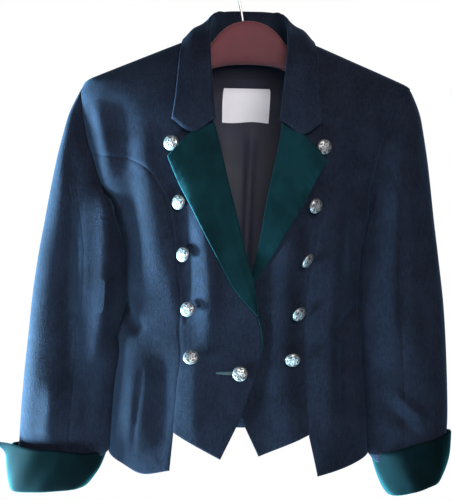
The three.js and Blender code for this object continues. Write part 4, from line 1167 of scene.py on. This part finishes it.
def button_head(name, radius):
    """An embossed dome with a rolled rim and a shank, facing +Z, with its rim at height 0."""
    deselect()
    bpy.ops.mesh.primitive_uv_sphere_add(segments=96, ring_count=56, radius=1)
    piece = bpy.context.object
    piece.name = piece.data.name = name
    co = np.zeros(len(piece.data.vertices) * 3, np.float32)
    piece.data.vertices.foreach_get("co", co)
    co = co.reshape(-1, 3).astype(float)
    polar = np.arccos(np.clip(co[:, 2], -1, 1)) / math.pi
    angle = np.arctan2(co[:, 1], co[:, 0])
    front = polar <= FRONT_SHARE
    r = np.where(front, polar / FRONT_SHARE, 0)
    relief = np.where(front, button_relief(r, angle), 0)
    dome = DOME_HEIGHT * (1 - r**2.2) + RELIEF_HEIGHT * relief * smooth((1 - r) / 0.1)
    back = np.clip((polar - FRONT_SHARE) / (1 - FRONT_SHARE), 0, 1)
    steps, radii, heights = zip(*BACK_PROFILE)
    back_r, back_h = np.interp(back, steps, radii), np.interp(back, steps, heights)
    radial = radius * np.where(front, np.sin(r * QUARTER)**0.9, back_r)
    height = np.where(front, dome, back_h)
    placed = np.stack([radial * np.cos(angle), radial * np.sin(angle), height], -1) * MM
    piece.data.vertices.foreach_set("co", placed.astype(np.float32).ravel())
    hollow = piece.data.attributes.new("hollow", "FLOAT", "POINT")
    sunk = np.where(front, 1 - np.clip(relief, 0, 1) * 1.1, 0.9)
    hollow.data.foreach_set("value", np.clip(sunk, 0, 1).astype(np.float32))
    piece.data.materials.append(material("silver"))
    return piece


class JACKET_OT_buttons(bpy.types.Operator):
    """Make the embossed buttons"""
    bl_idname = "jacket.buttons"
    bl_label = "Buttons"

    def execute(self, context):
        radius = context.scene.jacket_sizes.button
        places = [(f"button_{side}_{i + 1}", side, row) for side in ("right", "left")
                  for i, row in enumerate(BUTTONS[side])]
        places.append(("button_closing", "right", CLOSING))
        master = button_head("button", radius)
        for k, (node, side, (x, z, turned, tipped)) in enumerate(places):
            piece = master if node == "button_closing" else master.copy()
            if piece is not master:
                piece.data = master.data.copy()
                context.collection.objects.link(piece)
            piece.name = piece.data.name = node + "_head"
            zs = np.array([float(z)])
            turn = turn_of([(x, z)], side)[:, 0] / 100
            normal = form_normal(turn, zs, side)[0]
            tilt = math.radians(math.hypot(turned, tipped))
            stand = HEAD_HEIGHT + HEAD_CLEARANCE + TILT_REACH * math.sin(tilt)
            lift = front_lift(side, np.array([float(x)]), zs)[0]
            centre = form_point(turn, zs, side)[0] + normal * (lift + stand)
            centre[0] *= MIRROR[side]
            a, b = math.radians(turned), math.radians(tipped)
            facing = Vector((math.sin(a) * math.cos(b), -math.cos(a) * math.cos(b), math.sin(b)))
            turnings = facing.to_track_quat("Z", "Y").to_matrix().to_4x4()
            spin = Matrix.Rotation(math.radians(SPIN_STEP * k), 4, "Z")
            piece.data.transform(Matrix.Translation(Vector(centre) * MM) @ turnings @ spin)
            smooth_shade(piece, 60)
            declare(piece, node)
        return {"FINISHED"}


BUTTONHOLE = dict(near=13, length=21, z=-547, half_height=1.15)
STITCHES = 38
STITCH_BALL = 0.62
STITCH_SHAPE = (0.55, 0.9, 1.9)


def stitch_place(i, row):
    """Place in mm of a stitch of the upper or lower row, on the right front."""
    x = BUTTONHOLE["near"] + BUTTONHOLE["length"] * i / (STITCHES - 1)
    z = BUTTONHOLE["z"] + row * BUTTONHOLE["half_height"] * (1 - 0.75 * i / STITCHES)
    xs, zs = np.array([x]), np.array([z])
    turn = turn_of([(x, z)], "right")[:, 0] / 100
    lift = front_lift("right", xs, zs)[0] + 0.25
    return (form_point(turn, zs, "right")[0] + form_normal(turn, zs, "right")[0] * lift) * [-1, 1, 1]


class JACKET_OT_buttonhole(bpy.types.Operator):
    """Make the hand-worked buttonhole beside the closing button"""
    bl_idname = "jacket.buttonhole"
    bl_label = "Buttonhole"

    def execute(self, context):
        deselect()
        bpy.ops.mesh.primitive_uv_sphere_add(segments=8, ring_count=6, radius=STITCH_BALL)
        stitch = bpy.context.object
        stitch.name = stitch.data.name = "stitch"
        stitches = []
        for row in (-1, 1):
            for i in range(STITCHES):
                piece = stitch.copy()
                piece.data = stitch.data.copy()
                context.collection.objects.link(piece)
                place = Matrix.Translation(Vector(stitch_place(i, row)) * MM)
                shape = Matrix.Diagonal((*(share * MM for share in STITCH_SHAPE), 1))
                piece.data.transform(place @ shape)
                stitches.append(piece)
        bpy.data.objects.remove(stitch)
        deselect()
        for piece in stitches:
            piece.select_set(True)
        context.view_layer.objects.active = stitches[0]
        bpy.ops.object.join()
        joined = context.object
        joined.name = joined.data.name = "buttonhole_stitches"
        joined.data.materials.clear()
        joined.data.materials.append(material("thread"))
        smooth_shade(joined, 80)
        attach(joined, "root")
        return {"FINISHED"}


# ------------------------------------------------------------------ hanger
HANGER = [
    dict(x=0, top=-71.5, foot=-131, half=12), dict(x=14, top=-73.4, foot=-131.3, half=12),
    dict(x=28, top=-79.3, foot=-132.5, half=12), dict(x=40, top=-89.5, foot=-135, half=12.5),
    dict(x=52, top=-104, foot=-139, half=13), dict(x=66, top=-111, foot=-145, half=14),
    dict(x=90, top=-116, foot=-153, half=15), dict(x=125, top=-126, foot=-163, half=16),
    dict(x=160, top=-141.5, foot=-172, half=16), dict(x=186, top=-155, foot=-178, half=14),
    dict(x=195, top=-162, foot=-175, half=8),
]
HANGER_ROUNDNESS = 0.7
STEM = [(-8.5, 0, -71.4), (-10.4, 0, -60), (-13.2, 0, -47)]
HOOK_RADIUS = 21
HOOK_CENTRE = -19.4
WIRE_RADIUS = 1.6


def squared_off(v):
    """A sine or cosine that lingers near its ends, for a section between round and square."""
    return np.sign(v) * np.abs(v)**HANGER_ROUNDNESS


def close_tube(piece):
    """Merges a rolled-up grid's two long sides and closes its ends."""
    mesh = bmesh.new()
    mesh.from_mesh(piece.data)
    bmesh.ops.remove_doubles(mesh, verts=mesh.verts, dist=1e-6)
    bmesh.ops.holes_fill(mesh, edges=[e for e in mesh.edges if e.is_boundary], sides=0)
    bmesh.ops.recalc_face_normals(mesh, faces=mesh.faces)
    mesh.to_mesh(piece.data)
    mesh.free()


class JACKET_OT_hanger(bpy.types.Operator):
    """Make the hanger and its hook"""
    bl_idname = "jacket.hanger"
    bl_label = "Hanger"

    def execute(self, context):
        rows = [[-r["x"], r["top"], r["foot"], r["half"]] for r in HANGER[:0:-1]]
        rows += [[r["x"], r["top"], r["foot"], r["half"]] for r in HANGER]
        level = along(spline(rows, 500), np.linspace(0, 1, 120))
        x, top, foot, half = (level[:, k:k + 1] for k in range(4))
        angle = np.linspace(0, 2 * math.pi, 57)[None, :]
        points = np.stack([x + 0 * angle, half * squared_off(np.cos(angle)),
                           (top + foot) / 2 + (top - foot) / 2 * squared_off(np.sin(angle))], -1)
        body = grid_piece("hanger_shape", points)
        close_tube(body)
        body.data.materials.append(material("flock"))
        smooth_shade(body, 60)
        declare(body, "hanger_body")
        arc = [(HOOK_RADIUS * math.cos(a), 0, HOOK_CENTRE + HOOK_RADIUS * math.sin(a))
               for a in np.radians(215 - 24.5 * np.arange(10))]
        path = along(spline([*STEM, *arc], 400), np.linspace(0, 1, 110))
        tip = np.ones(len(path))
        tip[-3:] = (0.97, 0.85, 0.5)
        hook = tube("hook_shape", path, WIRE_RADIUS * tip, 20)
        hook.data.materials.append(material("wire"))
        smooth_shade(hook, 60)
        declare(hook, "hanger_hook")
        return {"FINISHED"}


# ------------------------------------------------------------------ stage
FLOOR = dict(radius=1.15, z=-1.5)
DAYLIGHT = dict(tone=(0.86, 0.92, 1.0), strength=0.13)
BACKDROP = dict(tone=(1, 1, 1), strength=1.0)
AIM = (-0.08, 0, -0.45)
LIGHTS = [
    dict(name="Window", place=(-1.5, 0.16, -0.98), size=0.4, power=600, tone=(0.46, 0.82, 1.0)),
    dict(name="Sky", place=(-1.75, -0.8, -1.3), size=0.5, power=82, tone=(0.5, 0.83, 1.0)),
    dict(name="Fill", place=(0.35, -2.3, 0.35), size=1.4, power=54, tone=(1.0, 0.96, 0.98)),
    dict(name="Rim", place=(0.9, 1.7, 0.5), size=1.0, power=12, tone=(1.0, 1.0, 1.0)),
]
CAMERA = dict(place=(-0.0246, -1.76, -0.385), lens=92.7, sensor=36, roll=1.24)


def add_floor():
    """A pale disc below the jacket."""
    deselect()
    bpy.ops.mesh.primitive_circle_add(vertices=96, radius=FLOOR["radius"], fill_type="NGON",
                                      location=(0, 0, FLOOR["z"]))
    floor = bpy.context.object
    floor.name = "floor"
    shader = Shader("Pale floor", Roughness=0.9)
    shader.set("Base Color", shader.mix(shader.noise(3.0), *shades((1, 1, 1), 0.8, 0.85)))
    floor.data.materials.append(shader.material)


def add_world(scene):
    """Dim daylight all round, behind a white backdrop."""
    world = bpy.data.worlds.new("Studio")
    scene.world = world
    world.use_nodes = True
    tree = world.node_tree
    daylight, backdrop = tree.nodes["Background"], tree.nodes.new("ShaderNodeBackground")
    for node, look in ((daylight, DAYLIGHT), (backdrop, BACKDROP)):
        node.inputs["Color"].default_value = colour(look["tone"])
        node.inputs["Strength"].default_value = look["strength"]
    path, mixer = tree.nodes.new("ShaderNodeLightPath"), tree.nodes.new("ShaderNodeMixShader")
    tree.links.new(path.outputs["Is Camera Ray"], mixer.inputs[0])
    tree.links.new(daylight.outputs[0], mixer.inputs[1])
    tree.links.new(backdrop.outputs[0], mixer.inputs[2])
    tree.links.new(mixer.outputs[0], tree.nodes["World Output"].inputs["Surface"])


def add_light(scene, name, place, size, power, tone):
    """A square area light that faces the jacket."""
    data = bpy.data.lights.new(name, "AREA")
    data.shape, data.size, data.energy, data.color = "SQUARE", size, power, tone
    lamp = bpy.data.objects.new(name, data)
    scene.collection.objects.link(lamp)
    lamp.location = place
    lamp.rotation_euler = (Vector(AIM) - lamp.location).to_track_quat("-Z", "Y").to_euler()


def add_camera(scene):
    """A level camera in front of the jacket, rolled a little."""
    data = bpy.data.cameras.new("Camera")
    data.sensor_fit, data.sensor_height, data.lens = "VERTICAL", CAMERA["sensor"], CAMERA["lens"]
    camera = bpy.data.objects.new("Camera", data)
    scene.collection.objects.link(camera)
    camera.location = CAMERA["place"]
    roll = math.radians(CAMERA["roll"])
    camera.rotation_euler = (Matrix.Rotation(QUARTER, 4, "X")
                             @ Matrix.Rotation(roll, 4, "Z")).to_euler()
    scene.camera = camera


class JACKET_OT_stage(bpy.types.Operator):
    """Set up the floor, the lights and the camera"""
    bl_idname = "jacket.stage"
    bl_label = "Stage"

    def execute(self, context):
        add_floor()
        add_world(context.scene)
        for light in LIGHTS:
            add_light(context.scene, **light)
        add_camera(context.scene)
        context.scene.view_settings.view_transform = "Standard"
        return {"FINISHED"}


OPERATORS = (JACKET_OT_stage, JACKET_OT_hanger, JACKET_OT_back, JACKET_OT_fronts,
             JACKET_OT_lapels, JACKET_OT_piping, JACKET_OT_collar, JACKET_OT_sleeves, JACKET_OT_cuffs,
             JACKET_OT_buttons, JACKET_OT_buttonhole)


class JACKET_PT_panel(bpy.types.Panel):
    """Lists the jacket's pieces"""
    bl_idname = "JACKET_PT_panel"
    bl_label = "Loden jacket"
    bl_space_type = "VIEW_3D"
    bl_region_type = "UI"
    bl_category = "Jacket"

    def draw(self, context):
        for group in (context.scene.jacket_look, context.scene.jacket_sizes):
            for name in group.__annotations__:
                self.layout.prop(group, name)
        for operator in OPERATORS:
            self.layout.operator(operator.bl_idname)


CLASSES = (JacketLook, JacketSizes, *OPERATORS, JACKET_PT_panel)


def register():
    for cls in CLASSES:
        bpy.utils.register_class(cls)
    bpy.types.Scene.jacket_look = bpy.props.PointerProperty(type=JacketLook)
    bpy.types.Scene.jacket_sizes = bpy.props.PointerProperty(type=JacketSizes)


def unregister():
    del bpy.types.Scene.jacket_sizes
    del bpy.types.Scene.jacket_look
    for cls in reversed(CLASSES):
        bpy.utils.unregister_class(cls)


def main():
    register()
    for operator in OPERATORS:
        group, name = operator.bl_idname.split(".")
        getattr(getattr(bpy.ops, group), name)()


if __name__ == "__main__":
    main()
